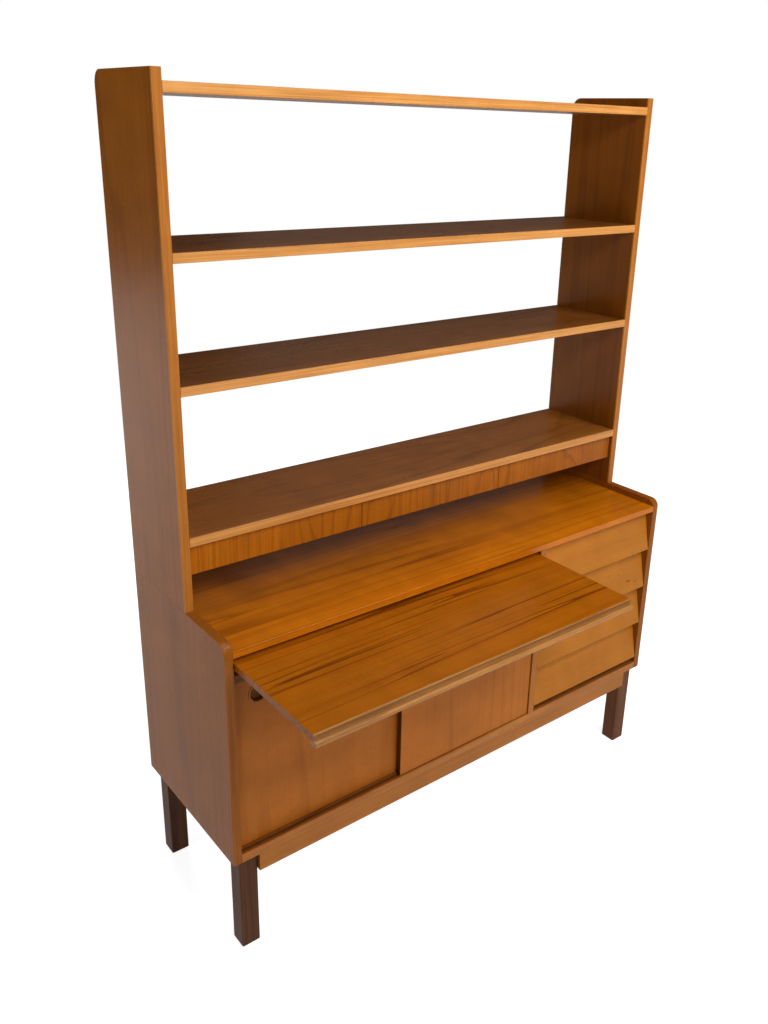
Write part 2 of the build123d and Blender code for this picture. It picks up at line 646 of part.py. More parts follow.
def drawer_sides(lip_z):
    """Both box sides, cut to the slope of the front, with runner and bottom grooves."""
    low = DRAWER_BOX_LOW
    with BuildPart() as sides:
        for x0, outer_x in ((BOX_LEFT, BOX_LEFT), (BOX_RIGHT - DRAWER_WALL, BOX_RIGHT)):
            with BuildSketch(Plane.YZ.offset(x0)) as outline:
                with BuildLine():
                    Polyline(
                        (front_rear_face(low), lip_z + low),
                        (DRAWER_BOX_BACK, lip_z + low),
                        (DRAWER_BOX_BACK, lip_z + DRAWER_BOX_HIGH),
                        (front_rear_face(DRAWER_BOX_HIGH), lip_z + DRAWER_BOX_HIGH),
                        (front_rear_face(low), lip_z + low),
                    )
                make_face()
            extrude(outline.sketch, amount=DRAWER_WALL)
            groove_depth = RUNNER_PROUD - DRAWER_BOX_GAP + FIT
            inward = 1 if outer_x == BOX_LEFT else -1
            groove_x = sorted((outer_x - inward * OVERCUT, outer_x + inward * groove_depth))
            plank(
                groove_x[0], groove_x[1], GROOVE_START, DRAWER_BOX_BACK + OVERCUT,
                lip_z + RUNNER_RISE - FIT, lip_z + RUNNER_RISE + RUNNER_HEIGHT + FIT,
                Mode.SUBTRACT,
            )
            inner_x = outer_x + inward * DRAWER_WALL
            ply_x = sorted((inner_x + inward * OVERCUT, inner_x - inward * DRAWER_PLY_GROOVE))
            ply_z = lip_z + low + DRAWER_PLY_RISE
            plank(
                ply_x[0], ply_x[1], FRONT, DRAWER_BOX_BACK + OVERCUT,
                ply_z - SNUG / 2, ply_z + DRAWER_PLY + SNUG / 2, Mode.SUBTRACT,
            )
    return sides


def drawer_back(lip_z):
    """The rear wall, between the sides and above the bottom panel."""
    ply_top = lip_z + DRAWER_BOX_LOW + DRAWER_PLY_RISE + DRAWER_PLY
    with BuildPart() as back:
        plank(
            BOX_LEFT + DRAWER_WALL, BOX_RIGHT - DRAWER_WALL,
            DRAWER_BOX_BACK - DRAWER_WALL, DRAWER_BOX_BACK,
            ply_top, lip_z + DRAWER_BOX_HIGH - DRAWER_BACK_DROP,
        )
    return back


def drawer_bottom(lip_z):
    """The plywood bottom, held in the grooves of the sides and cut to the front's slope."""
    low = lip_z + DRAWER_BOX_LOW + DRAWER_PLY_RISE
    reach = DRAWER_WALL - DRAWER_PLY_GROOVE + SNUG
    with BuildPart() as bottom:
        plank(
            BOX_LEFT + reach, BOX_RIGHT - reach,
            front_rear_face(low + DRAWER_PLY - lip_z) + SNUG, DRAWER_BOX_BACK,
            low, low + DRAWER_PLY,
        )
    return bottom


for number in range(1, DRAWER_COUNT + 1):
    drawer_lip = DRAWER_FIRST + (DRAWER_COUNT - number) * DRAWER_PITCH
    save(drawer_front(drawer_lip), f"drawer_{number}_front")
    save(drawer_sides(drawer_lip), f"drawer_{number}_sides")
    save(drawer_back(drawer_lip), f"drawer_{number}_back")
    save(drawer_bottom(drawer_lip), f"drawer_{number}_bottom")

with BuildPart() as drawer_runners:
    for number in range(DRAWER_COUNT):
        runner_z = DRAWER_FIRST + number * DRAWER_PITCH + RUNNER_RISE
        for x0 in (PARTITION_RIGHT, IN_RIGHT - RUNNER_PROUD):
            plank(
                x0, x0 + RUNNER_PROUD, RUNNER_START, RUNNER_END,
                runner_z, runner_z + RUNNER_HEIGHT,
            )
save(drawer_runners, "drawer_runners")


# ---- three letter drawers under the lowest bookshelf --------------------------------------

LETTER_SPACE = (IN_RIGHT - IN_LEFT) / LETTER_COUNT
LETTER_GAP = 0.75            # between a front and its share of the width
LETTER_LIP_CHAMFER = 1.5     # along the bottom edge of the fronts
LETTER_FACE = UPPER_FRONT + LETTER_RECESS
LETTER_CASE_FLOOR = 6.0
LETTER_FLOOR_BOTTOM = LETTER_BOTTOM + 7.5        # the fronts hang below the case
LETTER_FLOOR_TOP = LETTER_FLOOR_BOTTOM + LETTER_CASE_FLOOR
LETTER_FLOOR_FRONT = LETTER_FACE + LETTER_FRONT + 26.0   # finger room behind the fronts
DIVIDER = 8.0
LETTER_BOX_GAP = 1.0
LETTER_WALL = 8.0
LETTER_PLY = 4.0
LETTER_BOX_LOW = LETTER_FLOOR_TOP + 0.6
LETTER_BOX_HIGH = LETTER_BOX_LOW + 40.0
LETTER_BOX_BACK = PANEL_FRONT - 6.0
LETTER_BACK_DROP = 3.0       # of the rear wall below the rim

with BuildPart() as letter_case_floor:
    plank(
        IN_LEFT, IN_RIGHT, LETTER_FLOOR_FRONT, PANEL_FRONT,
        LETTER_FLOOR_BOTTOM, LETTER_FLOOR_TOP,
    )
save(letter_case_floor, "letter_case_floor")

with BuildPart() as letter_case_dividers:
    for number in range(1, LETTER_COUNT):
        middle = IN_LEFT + number * LETTER_SPACE
        plank(
            middle - DIVIDER / 2, middle + DIVIDER / 2, LETTER_FLOOR_FRONT, PANEL_FRONT,
            LETTER_FLOOR_TOP, LOWER_SHELF_BOTTOM,
        )
save(letter_case_dividers, "letter_case_dividers")

with BuildPart() as letter_case_back:
    plank(IN_LEFT, IN_RIGHT, PANEL_FRONT, BACK, LETTER_FLOOR_BOTTOM, LOWER_SHELF_BOTTOM)
save(letter_case_back, "letter_case_back")


def letter_front(x0, x1):
    """A small flush front; its bottom edge hangs below the case floor as a finger lip."""
    with BuildPart() as front:
        plank(
            x0, x1, LETTER_FACE, LETTER_FACE + LETTER_FRONT,
            LETTER_BOTTOM, LETTER_BOTTOM + LETTER_HEIGHT,
        )
        chamfer(front_long_edges(front).sort_by(Axis.Z)[0], LETTER_LIP_CHAMFER)
    return front


def letter_box(x0, x1):
    """The tray behind a letter front: two sides, a back and a bottom as separate pieces."""
    y0 = LETTER_FACE + LETTER_FRONT
    walls_low = LETTER_BOX_LOW + LETTER_PLY
    with BuildPart() as box:
        plank(x0, x0 + LETTER_WALL, y0, LETTER_BOX_BACK, walls_low, LETTER_BOX_HIGH)
        plank(x1 - LETTER_WALL, x1, y0, LETTER_BOX_BACK, walls_low, LETTER_BOX_HIGH)
        plank(
            x0 + LETTER_WALL + SNUG, x1 - LETTER_WALL - SNUG,
            LETTER_BOX_BACK - LETTER_WALL, LETTER_BOX_BACK,
            walls_low, LETTER_BOX_HIGH - LETTER_BACK_DROP,
        )
        plank(x0, x1, y0, LETTER_BOX_BACK, LETTER_BOX_LOW, walls_low - SNUG / 2)
    return box


for number in range(1, LETTER_COUNT + 1):
    share_left = IN_LEFT + (number - 1) * LETTER_SPACE
    share_right = share_left + LETTER_SPACE
    box_inset = DIVIDER / 2 + LETTER_BOX_GAP
    front = letter_front(share_left + LETTER_GAP, share_right - LETTER_GAP)
    save(front, f"letter_drawer_{number}_front")
    box = letter_box(share_left + box_inset, share_right - box_inset)
    save(box, f"letter_drawer_{number}_box")
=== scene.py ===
import math
import random
from collections import namedtuple

import bmesh
import bpy
from mathutils import Matrix, Vector


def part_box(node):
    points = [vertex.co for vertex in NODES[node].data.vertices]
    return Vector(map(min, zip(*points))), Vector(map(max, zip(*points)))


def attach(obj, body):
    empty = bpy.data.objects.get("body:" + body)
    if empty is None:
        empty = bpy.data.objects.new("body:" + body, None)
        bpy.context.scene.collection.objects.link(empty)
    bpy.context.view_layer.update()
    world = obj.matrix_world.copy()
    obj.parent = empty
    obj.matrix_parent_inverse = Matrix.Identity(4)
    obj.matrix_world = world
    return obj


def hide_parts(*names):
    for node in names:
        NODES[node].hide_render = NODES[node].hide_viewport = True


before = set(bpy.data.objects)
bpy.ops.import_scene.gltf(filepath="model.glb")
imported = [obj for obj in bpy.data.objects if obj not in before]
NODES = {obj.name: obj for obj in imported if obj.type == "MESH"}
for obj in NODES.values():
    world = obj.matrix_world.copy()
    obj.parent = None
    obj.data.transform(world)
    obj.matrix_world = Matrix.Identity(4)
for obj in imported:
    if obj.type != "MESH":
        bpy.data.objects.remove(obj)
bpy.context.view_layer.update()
# The looks of a secretary desk: procedural wood and metal on the frame's pieces, and new
# meshes for the finger pulls, the writing slide's nosing and the screws. Lengths are in metres.
MM = 0.001
TINY = 1e-6                                      # shorter than any length on the desk


def box_of(node):
    """(low, high) corners of a CAD node, as plain tuples."""
    low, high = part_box(node)
    return tuple(low), tuple(high)


# Behind this Y the upper sides stand on the lower ones and cover their top edge.
STEP_END = box_of("upper_side_left")[0][1]
WORKTOP_BACK = box_of("worktop")[1][1]
DOOR_TOP = box_of("left_door")[1][2]


# ---- node graphs --------------------------------------------------------------------------


class Graph:
    """Short names for building a node tree. Inputs are sockets or plain constants."""

    def __init__(self, tree):
        self.tree = tree

    def node(self, kind, **settings):
        made = self.tree.nodes.new(kind)
        for key, value in settings.items():
            setattr(made, key, value)
        return made

    def feed(self, socket, value):
        if isinstance(value, bpy.types.NodeSocket):
            self.tree.links.new(value, socket)
        elif value is not None:
            socket.default_value = value

    def math(self, operation, a, b=None, c=None):
        made = self.node("ShaderNodeMath", operation=operation)
        for socket, value in zip(made.inputs, (a, b, c)):
            self.feed(socket, value)
        return made.outputs[0]

    def length(self, a, b):
        squares = self.math("ADD", self.math("POWER", a, 2.0), self.math("POWER", b, 2.0))
        return self.math("SQRT", squares)

    def combine(self, x, y, z):
        made = self.node("ShaderNodeCombineXYZ")
        for socket, value in zip(made.inputs, (x, y, z)):
            self.feed(socket, value)
        return made.outputs[0]

    def split(self, vector):
        made = self.node("ShaderNodeSeparateXYZ")
        self.feed(made.inputs[0], vector)
        return made.outputs

    def noise(self, vector, scale=1.0, detail=2.0, roughness=0.5):
        made = self.node("ShaderNodeTexNoise", noise_dimensions="3D")
        self.feed(made.inputs["Vector"], vector)
        self.feed(made.inputs["Scale"], scale)
        self.feed(made.inputs["Detail"], detail)
        self.feed(made.inputs["Roughness"], roughness)
        return made.outputs["Fac"]

    def smooth(self, value, low, high):
        """0 below low, 1 above high, smooth between."""
        made = self.node("ShaderNodeMapRange", interpolation_type="SMOOTHSTEP")
        self.feed(made.inputs["Value"], value)
        made.inputs["From Min"].default_value = low
        made.inputs["From Max"].default_value = high
        return made.outputs["Result"]

    def ramp(self, value, stops):
        made = self.node("ShaderNodeValToRGB")
        points = made.color_ramp.elements
        while len(points) < len(stops):
            points.new(0.5)
        for point, (place, grey) in zip(points, stops):
            point.position = place
            point.color = (grey, grey, grey, 1.0)
        self.feed(made.inputs["Fac"], value)
        return made.outputs["Color"]

    def mix(self, amount, a, b):
        made = self.node("ShaderNodeMix", data_type="RGBA", clamp_factor=True)
        self.feed(made.inputs["Factor"], amount)
        colours = [socket for socket in made.inputs if socket.type == "RGBA"]
        for socket, value in zip(colours, (a, b)):
            self.feed(socket, value if isinstance(value, bpy.types.NodeSocket) else (*value, 1.0))
        return [socket for socket in made.outputs if socket.type == "RGBA"][0]

    def scale_colour(self, colour, amount):
        """A colour times a number."""
        made = self.node("ShaderNodeVectorMath", operation="SCALE")
        self.feed(made.inputs[0], colour)
        self.feed(made.inputs["Scale"], amount)
        return made.outputs[0]


GRAIN_SHAPE = ("rings", "course", "strand", "sway", "stretch")
FIELD_INPUTS = ("along", "across", "through", "seed", *GRAIN_SHAPE)
FIELD_OUTPUTS = ("Fibre", "Ring", "Streak", "Pore", "Mottle")
# pattern: (repeats per metre along the grain, repeats across it, how far the seed shifts it)
PATTERNS = {
    "bend": (1.1, 4.5, 1.0),
    "ring": (1.0, 6.5, 1.7),
    "patch": (1.3, 9.0, 6.1),
    "fine": (5.0, 560.0, 3.1),
    "pore": (75.0, 2400.0, 4.7),
    "mottle": (13.0, 8.0, 5.3),
}
# lines whose number across the grain is an input: (repeats per metre along it, seed's shift)
LINES = {"course": (0.35, 2.3), "strand": (1.6, 3.9)}
LINES_PER_COURSE = 7.0
FINE_SHARE = 0.55                                # of the fibres; the rest are strands
# Growth rings fade in and end sharply: (place in the ring, darkness).
RING_STOPS = ((0.0, 0.0), (0.72, 0.06), (0.91, 1.0), (0.96, 0.6), (1.0, 0.0))
# The noise values between which each pattern goes from nothing to full.
LINE_BAND = (0.76, 0.98)
PATCH_BAND = (0.32, 0.56)
FIBRE_BAND = (0.40, 0.60)
PORE_BAND = (0.60, 0.70)


def make_wood_fields():
    """Group: place along, across and through the grain to the patterns that make up wood."""
    tree = bpy.data.node_groups.new("wood_fields", "ShaderNodeTree")
    for name in FIELD_INPUTS:
        tree.interface.new_socket(name.title(), in_out="INPUT", socket_type="NodeSocketFloat")
    for name in FIELD_OUTPUTS:
        tree.interface.new_socket(name, in_out="OUTPUT", socket_type="NodeSocketFloat")
    g = Graph(tree)
    given = g.node("NodeGroupInput").outputs
    along, across, through, seed = (given[n] for n in ("Along", "Across", "Through", "Seed"))

    def stretched(pattern, across_here, along_here=along):
        """Where to read a pattern that is drawn out along the grain."""
        repeats_along, repeats_across, shift = PATTERNS[pattern]
        u = g.math("MULTIPLY_ADD", along_here, repeats_along, g.math("MULTIPLY", seed, shift))
        w = g.math("MULTIPLY_ADD", through, repeats_across, seed)
        return g.combine(u, g.math("MULTIPLY", across_here, repeats_across), w)

    bend = g.math("SUBTRACT", g.noise(stretched("bend", across), detail=2.0), 0.5)
    swayed = g.math("MULTIPLY_ADD", bend, given["Sway"], across)

    def lines(pattern, density):
        """Where to read long lines that lie side by side across the grain."""
        repeats_along, shift = LINES[pattern]
        return g.combine(
            g.math("MULTIPLY_ADD", along, repeats_along, g.math("MULTIPLY", seed, shift)),
            g.math("MULTIPLY", swayed, density),
            g.math("MULTIPLY_ADD", through, density, seed),
        )

    eased = g.math("MULTIPLY", along, given["Stretch"])
    slow = g.noise(stretched("ring", swayed, eased), detail=1.0)
    ring = g.ramp(g.math("FRACT", g.math("MULTIPLY", slow, given["Rings"])), RING_STOPS)
    course = g.noise(lines("course", given["Course"]), detail=2.0)
    line = g.smooth(g.math("FRACT", g.math("MULTIPLY", course, LINES_PER_COURSE)), *LINE_BAND)
    patch = g.smooth(g.noise(stretched("patch", swayed), detail=1.0), *PATCH_BAND)
    streak = g.math("MULTIPLY", line, patch)
    strand = g.noise(lines("strand", given["Strand"]), detail=3.0, roughness=0.66)
    fine = g.noise(stretched("fine", swayed), detail=2.0, roughness=0.6)
    strand_part = g.math("MULTIPLY", strand, 1.0 - FINE_SHARE)
    fibre = g.smooth(g.math("MULTIPLY_ADD", fine, FINE_SHARE, strand_part), *FIBRE_BAND)
    pore = g.smooth(g.noise(stretched("pore", swayed), detail=1.0), *PORE_BAND)
    mottle = g.noise(stretched("mottle", across), detail=3.0)
    out = g.node("NodeGroupOutput")
    for socket, value in zip(out.inputs, (fibre, ring, streak, pore, mottle)):
        g.feed(socket, value)
    return tree


def make_edge_distance():
    """Group: distance of a point on a box's surface from the nearest edge of that box."""
    tree = bpy.data.node_groups.new("edge_distance", "ShaderNodeTree")
    for name in ("Point", "Low", "High"):
        tree.interface.new_socket(name, in_out="INPUT", socket_type="NodeSocketVector")
    tree.interface.new_socket("Distance", in_out="OUTPUT", socket_type="NodeSocketFloat")
    g = Graph(tree)
    given = g.node("NodeGroupInput").outputs

    def pair(operation, a, b):
        made = g.node("ShaderNodeVectorMath", operation=operation)
        g.feed(made.inputs[0], a)
        g.feed(made.inputs[1], b)
        return made.outputs[0]

    from_low = pair("SUBTRACT", given["Point"], given["Low"])
    from_high = pair("SUBTRACT", given["High"], given["Point"])
    x, y, z = g.split(pair("MINIMUM", from_low, from_high))
    low = g.math("MINIMUM", x, y)
    high = g.math("MAXIMUM", x, y)
    middle = g.math("MAXIMUM", low, g.math("MINIMUM", high, z))
    out = g.node("NodeGroupOutput")
    g.feed(out.inputs[0], middle)
    return tree


WOOD_FIELDS = make_wood_fields()
EDGE_DISTANCE = make_edge_distance()
AXIS = {"X": 0, "Y": 1, "Z": 2}

# base, light and dark are linear colours. rings, course and strand say how close the
# patterns lie, sway how far they wander, stretch how short the rings' figure is, and ring,
# streak and mottle how strong they are. edge darkens the faces round a board's broad ones.
WOODS = {
    "side": dict(
        base=(0.262, 0.073, 0.004), light=(0.340, 0.107, 0.011), dark=(0.140, 0.034, 0.002),
        rings=9.0, ring=0.3, streak=0.25, course=24.0, strand=150.0, sway=0.015,
        stretch=0.3, rough=0.24, coat=0.0, gloss=0.17, mottle=0.42, edge=0.45,
    ),
    "board": dict(
        base=(0.250, 0.078, 0.012), light=(0.330, 0.114, 0.021), dark=(0.085, 0.023, 0.004),
        rings=9.0, ring=0.38, streak=0.25, course=18.0, strand=140.0, sway=0.03,
        stretch=0.9, rough=0.28, coat=0.0, gloss=0.27, mottle=0.5, edge=0.4,
    ),
    "top": dict(
        base=(0.510, 0.130, 0.002), light=(0.660, 0.200, 0.004), dark=(0.190, 0.036, 0.001),
        rings=9.0, ring=0.30, streak=0.5, course=16.0, strand=120.0, sway=0.02,
        stretch=0.15, rough=0.24, coat=0.12, gloss=0.22, mottle=0.75, edge=0.0,
    ),
    "slide": dict(
        base=(0.378, 0.094, 0.002), light=(0.470, 0.138, 0.003), dark=(0.150, 0.026, 0.001),
        rings=10.0, ring=0.14, streak=0.85, course=25.0, strand=130.0, sway=0.02,
        stretch=0.12, rough=0.26, coat=0.12, gloss=0.22, mottle=0.45, edge=0.28,
    ),
    "door": dict(
        base=(0.460, 0.136, 0.015), light=(0.530, 0.169, 0.021), dark=(0.260, 0.066, 0.005),
        rings=6.0, ring=0.26, streak=0.14, course=26.0, strand=64.0, sway=0.03,
        stretch=0.35, rough=0.36, coat=0.0, gloss=0.14, mottle=0.44, edge=0.8,
    ),
    "drawer": dict(
        base=(0.460, 0.154, 0.013), light=(0.540, 0.192, 0.021), dark=(0.310, 0.088, 0.007),
        rings=5.0, ring=0.13, streak=0.1, course=22.0, strand=150.0, sway=0.01,
        stretch=0.25, rough=0.34, coat=0.0, gloss=0.14, mottle=0.42, edge=0.4,
    ),
    "letter": dict(
        base=(0.360, 0.094, 0.002), light=(0.470, 0.142, 0.005), dark=(0.150, 0.034, 0.001),
        rings=16.0, ring=0.4, streak=0.35, course=34.0, strand=170.0, sway=0.02,
        stretch=1.0, rough=0.36, coat=0.0, gloss=0.2, mottle=0.36, edge=0.4,
    ),
    "edging": dict(
        base=(0.390, 0.126, 0.015), light=(0.490, 0.178, 0.029), dark=(0.260, 0.072, 0.007),
        rings=8.0, ring=0.42, streak=0.5, course=24.0, strand=120.0, sway=0.015,
        stretch=0.5, rough=0.32, coat=0.0, gloss=0.2, mottle=0.36, edge=0.3,
    ),
    "solid": dict(
        base=(0.570, 0.232, 0.050), light=(0.720, 0.330, 0.092), dark=(0.390, 0.132, 0.022),
        rings=8.0, ring=0.22, streak=0.3, course=30.0, strand=230.0, sway=0.01,
        stretch=0.2, rough=0.32, coat=0.0, gloss=0.22, mottle=0.36, edge=0.3,
    ),
    "nosing": dict(
        base=(0.390, 0.158, 0.036), light=(0.520, 0.240, 0.068), dark=(0.200, 0.070, 0.014),
        rings=9.0, ring=0.3, streak=0.6, course=60.0, strand=420.0, sway=0.01,
        stretch=0.2, rough=0.26, coat=0.1, gloss=0.16, mottle=0.36, edge=0.0,
    ),
    "pull": dict(
        base=(0.400, 0.155, 0.035), light=(0.500, 0.210, 0.055), dark=(0.200, 0.070, 0.015),
        rings=12.0, ring=0.3, streak=0.3, course=40.0, strand=300.0, sway=0.01,
        stretch=0.3, rough=0.3, coat=0.0, gloss=0.03, mottle=0.36, edge=0.0,
    ),
    "leg": dict(
        base=(0.092, 0.034, 0.014), light=(0.132, 0.052, 0.024), dark=(0.045, 0.015, 0.006),
        rings=12.0, ring=0.4, streak=0.35, course=30.0, strand=260.0, sway=0.01,
        stretch=0.2, rough=0.32, coat=0.0, gloss=0.1, mottle=0.36, edge=0.0,
    ),
    "beech": dict(
        base=(0.530, 0.330, 0.160), light=(0.640, 0.440, 0.250), dark=(0.400, 0.220, 0.095),
        rings=9.0, ring=0.25, streak=0.2, course=26.0, strand=260.0, sway=0.01,
        stretch=0.25, rough=0.55, coat=0.0, gloss=0.3, mottle=0.36, edge=0.25,
    ),
    "ply": dict(
        base=(0.450, 0.270, 0.125), light=(0.560, 0.360, 0.195), dark=(0.300, 0.150, 0.060),
        rings=7.0, ring=0.45, streak=0.25, course=22.0, strand=200.0, sway=0.05,
        stretch=0.7, rough=0.58, coat=0.0, gloss=0.3, mottle=0.36, edge=0.0,
    ),
}
# a lighter copy of the leg wood for the front right leg: painted light
WOODS["painted_light_leg"] = dict(
    WOODS["leg"],
    base=(0.138, 0.050, 0.018), light=(0.190, 0.074, 0.030), dark=(0.068, 0.022, 0.008),
)


# ---- wood and metal -----------------------------------------------------------------------

# A shade is how much of the colour goes; 1 would be black.
PORE_SHADE = 0.32
FIBRE_SHADE = 0.16
LEAF_JUMP = 3.0                                  # of the seed from one leaf of veneer to another
LEAF_SPREAD = 0.16                               # of the leaves' tones
LEAF_SEAM = 0.010                                # of a leaf's width
LEAF_SEAM_SHADE = 0.45
PLY_LAYERS = 3
PLY_CORE_SHADE = 0.35
KNOT_SQUEEZE = 0.45                              # knots are longer along the grain than across
KNOT_SHADE = 0.6
KNOT_RAGGED = 0.8                                # of its radius, as are the next two
KNOT_EDGE = (1.5, 0.5)
BROAD_FACE = (0.45, 0.85)                        # of the normal, along the thinnest axis
LIP_SEED = 7.7
LIP_STREAK = 0.4
LIP_MOTTLE = 0.30
SEAM_BLUR = 0.15 * MM
SEAM_LINE = (0.30 * MM, 0.05 * MM)
SEAM_SHADE = 0.35
SEAM_DIP = 0.6
WEAR_SCALE = 38.0
WEAR_SPREAD = 3.2 * MM
WEAR_REACH = (2.9 * MM, 1.3 * MM)
WEAR_LIGHTENS = 0.30
SMUDGE_SCALE = 6.0
SMUDGE_ROUGHENS = 0.10
PORE_ROUGHENS = 0.12
LACQUER_IOR = 1.48
COAT_ROUGHNESS = 0.12
PORE_DIP = 0.55
FIBRE_RISE = 0.45
TARNISH_SCALE = 90.0
TARNISH_BAND = (0.45, 0.75)
TARNISH_SHADE = 0.55
MARKS_ROUGHEN = 0.25

# A glued strip. edges is "front", or "front_top" for one that goes on round a corner to the
# top edge; corner is that corner's radius and kind the strip's wood.
Lip = namedtuple("Lip", "edges depth kind corner")


def new_material(name, colour):
    """A material with its node graph, its shader and its coordinates."""
    material = bpy.data.materials.new(name)
    material.use_nodes = True
    material.diffuse_color = (*colour, 1.0)
    g = Graph(material.node_tree)
    shader = material.node_tree.nodes["Principled BSDF"]
    return material, g, shader, g.node("ShaderNodeTexCoord").outputs


def add_bump(g, shader, height, strength, distance):
    bump = g.node("ShaderNodeBump")
    bump.inputs["Strength"].default_value = strength
    bump.inputs["Distance"].default_value = distance
    g.feed(bump.inputs["Height"], height)
    g.feed(shader.inputs["Normal"], bump.outputs["Normal"])


def fields(g, along, across, through, seed, tone):
    """The patterns of a wood at a place along, across and through its grain."""
    group = g.node("ShaderNodeGroup", node_tree=WOOD_FIELDS)
    shape = (tone[word] for word in GRAIN_SHAPE)
    for socket, value in zip(group.inputs, (along, across, through, seed, *shape)):
        g.feed(socket, value)
    return group.outputs


def leaf_number(g, across, width, seed):
    """A number from 0 to 1 for each leaf of a veneer laid in leaves."""
    leaf = g.math("FLOOR", g.math("DIVIDE", across, width))
    made = g.node("ShaderNodeTexWhiteNoise", noise_dimensions="1D")
    g.feed(made.inputs["W"], g.math("ADD", leaf, seed))
    return made.outputs["Value"]


def leaf_shade(g, across, width, number):
    """Tones of the leaves and the dark seams between them."""
    tone = g.math("MULTIPLY_ADD", number, LEAF_SPREAD, 1.0 - LEAF_SPREAD / 2)
    within = g.math("FRACT", g.math("DIVIDE", across, width))
    seam = g.math("MULTIPLY", g.smooth(within, LEAF_SEAM, 0.0), LEAF_SEAM_SHADE)
    return g.math("MULTIPLY", tone, g.math("SUBTRACT", 1.0, seam))


def ply_shade(g, through, low, high, thickness):
    """The darker core layer on the edges of a three-ply sheet."""
    off = g.math("ABSOLUTE", g.math("SUBTRACT", through, (low + high) / 2))
    core = g.math("LESS_THAN", off, thickness / (2 * PLY_LAYERS))
    return g.math("SUBTRACT", 1.0, g.math("MULTIPLY", core, PLY_CORE_SHADE))


def knot_shade(g, x, z, fibre, knot):
    """A small dark knot, given as (x, z, radius)."""
    knot_x, knot_z, radius = knot
    along = g.math("MULTIPLY", g.math("SUBTRACT", x, knot_x), KNOT_SQUEEZE)
    away = g.length(along, g.math("SUBTRACT", z, knot_z))
    ragged = g.math("MULTIPLY_ADD", fibre, radius * KNOT_RAGGED, away)
    mark = g.smooth(ragged, *(radius * part for part in KNOT_EDGE))
    return g.math("SUBTRACT", 1.0, g.math("MULTIPLY", mark, KNOT_SHADE))


def edge_shade(g, normal, thin, amount):
    """Darker end grain and edges: every face that doesn't look along the thin axis."""
    broad = g.smooth(g.math("ABSOLUTE", g.split(normal)[thin]), *BROAD_FACE)
    return g.math("MULTIPLY_ADD", broad, amount, 1.0 - amount)


def depth_in_lip(g, y, z, low, high, lip):
    """Distance of a point from the lipped outside of a board, into the board."""
    front = g.math("SUBTRACT", low[1] + lip.corner, y)
    if lip.edges == "front":
        return g.math("SUBTRACT", lip.corner, front)
    up = g.math("SUBTRACT", z, high[2] - lip.corner)
    round_corner = g.length(g.math("MAXIMUM", front, 0.0), g.math("MAXIMUM", up, 0.0))
    inside = g.math("MINIMUM", g.math("MAXIMUM", front, up), 0.0)
    depth = g.math("SUBTRACT", lip.corner, g.math("ADD", round_corner, inside))
    return g.math("ADD", depth, g.math("GREATER_THAN", y, STEP_END))


def lipped(g, colour, axes, grain, seed, box, lip):
    """A board's colour with a glued lip of solid wood, and the dip of the seam behind it."""
    low, high = box
    depth = depth_in_lip(g, axes["Y"], axes["Z"], low, high, lip)
    solid = WOODS[lip.kind]
    run, through = ("Z", "X") if grain == "Z" else ("X", "Z")
    s = fields(g, axes[run], axes["Y"], axes[through], seed + LIP_SEED, solid)
    strip = g.mix(s["Fibre"], solid["light"], solid["base"])
    strip = g.mix(g.math("MULTIPLY", s["Streak"], LIP_STREAK), strip, solid["dark"])
    tone = g.math("MULTIPLY_ADD", s["Mottle"], LIP_MOTTLE, 1.0 - LIP_MOTTLE / 2)
    strip = g.scale_colour(strip, tone)
    within = g.smooth(depth, lip.depth + SEAM_BLUR, lip.depth - SEAM_BLUR)
    colour = g.mix(within, colour, strip)
    seam = g.smooth(g.math("ABSOLUTE", g.math("SUBTRACT", depth, lip.depth)), *SEAM_LINE)
    colour = g.scale_colour(colour, g.math("MULTIPLY_ADD", seam, -SEAM_SHADE, 1.0))
    return colour, g.math("MULTIPLY", seam, -SEAM_DIP)


def worn(g, colour, place, xyz, box, light):
    """Lighter wood where the edges of a board have been rubbed."""
    edge = g.node("ShaderNodeGroup", node_tree=EDGE_DISTANCE)
    g.feed(edge.inputs["Point"], place)
    edge.inputs["Low"].default_value, edge.inputs["High"].default_value = box
    rub = g.noise(xyz, scale=WEAR_SCALE, detail=3.0)
    reach = g.math("MULTIPLY_ADD", rub, WEAR_SPREAD, edge.outputs[0])
    amount = g.math("MULTIPLY", g.smooth(reach, *WEAR_REACH), WEAR_LIGHTENS)
    return g.mix(amount, colour, light)


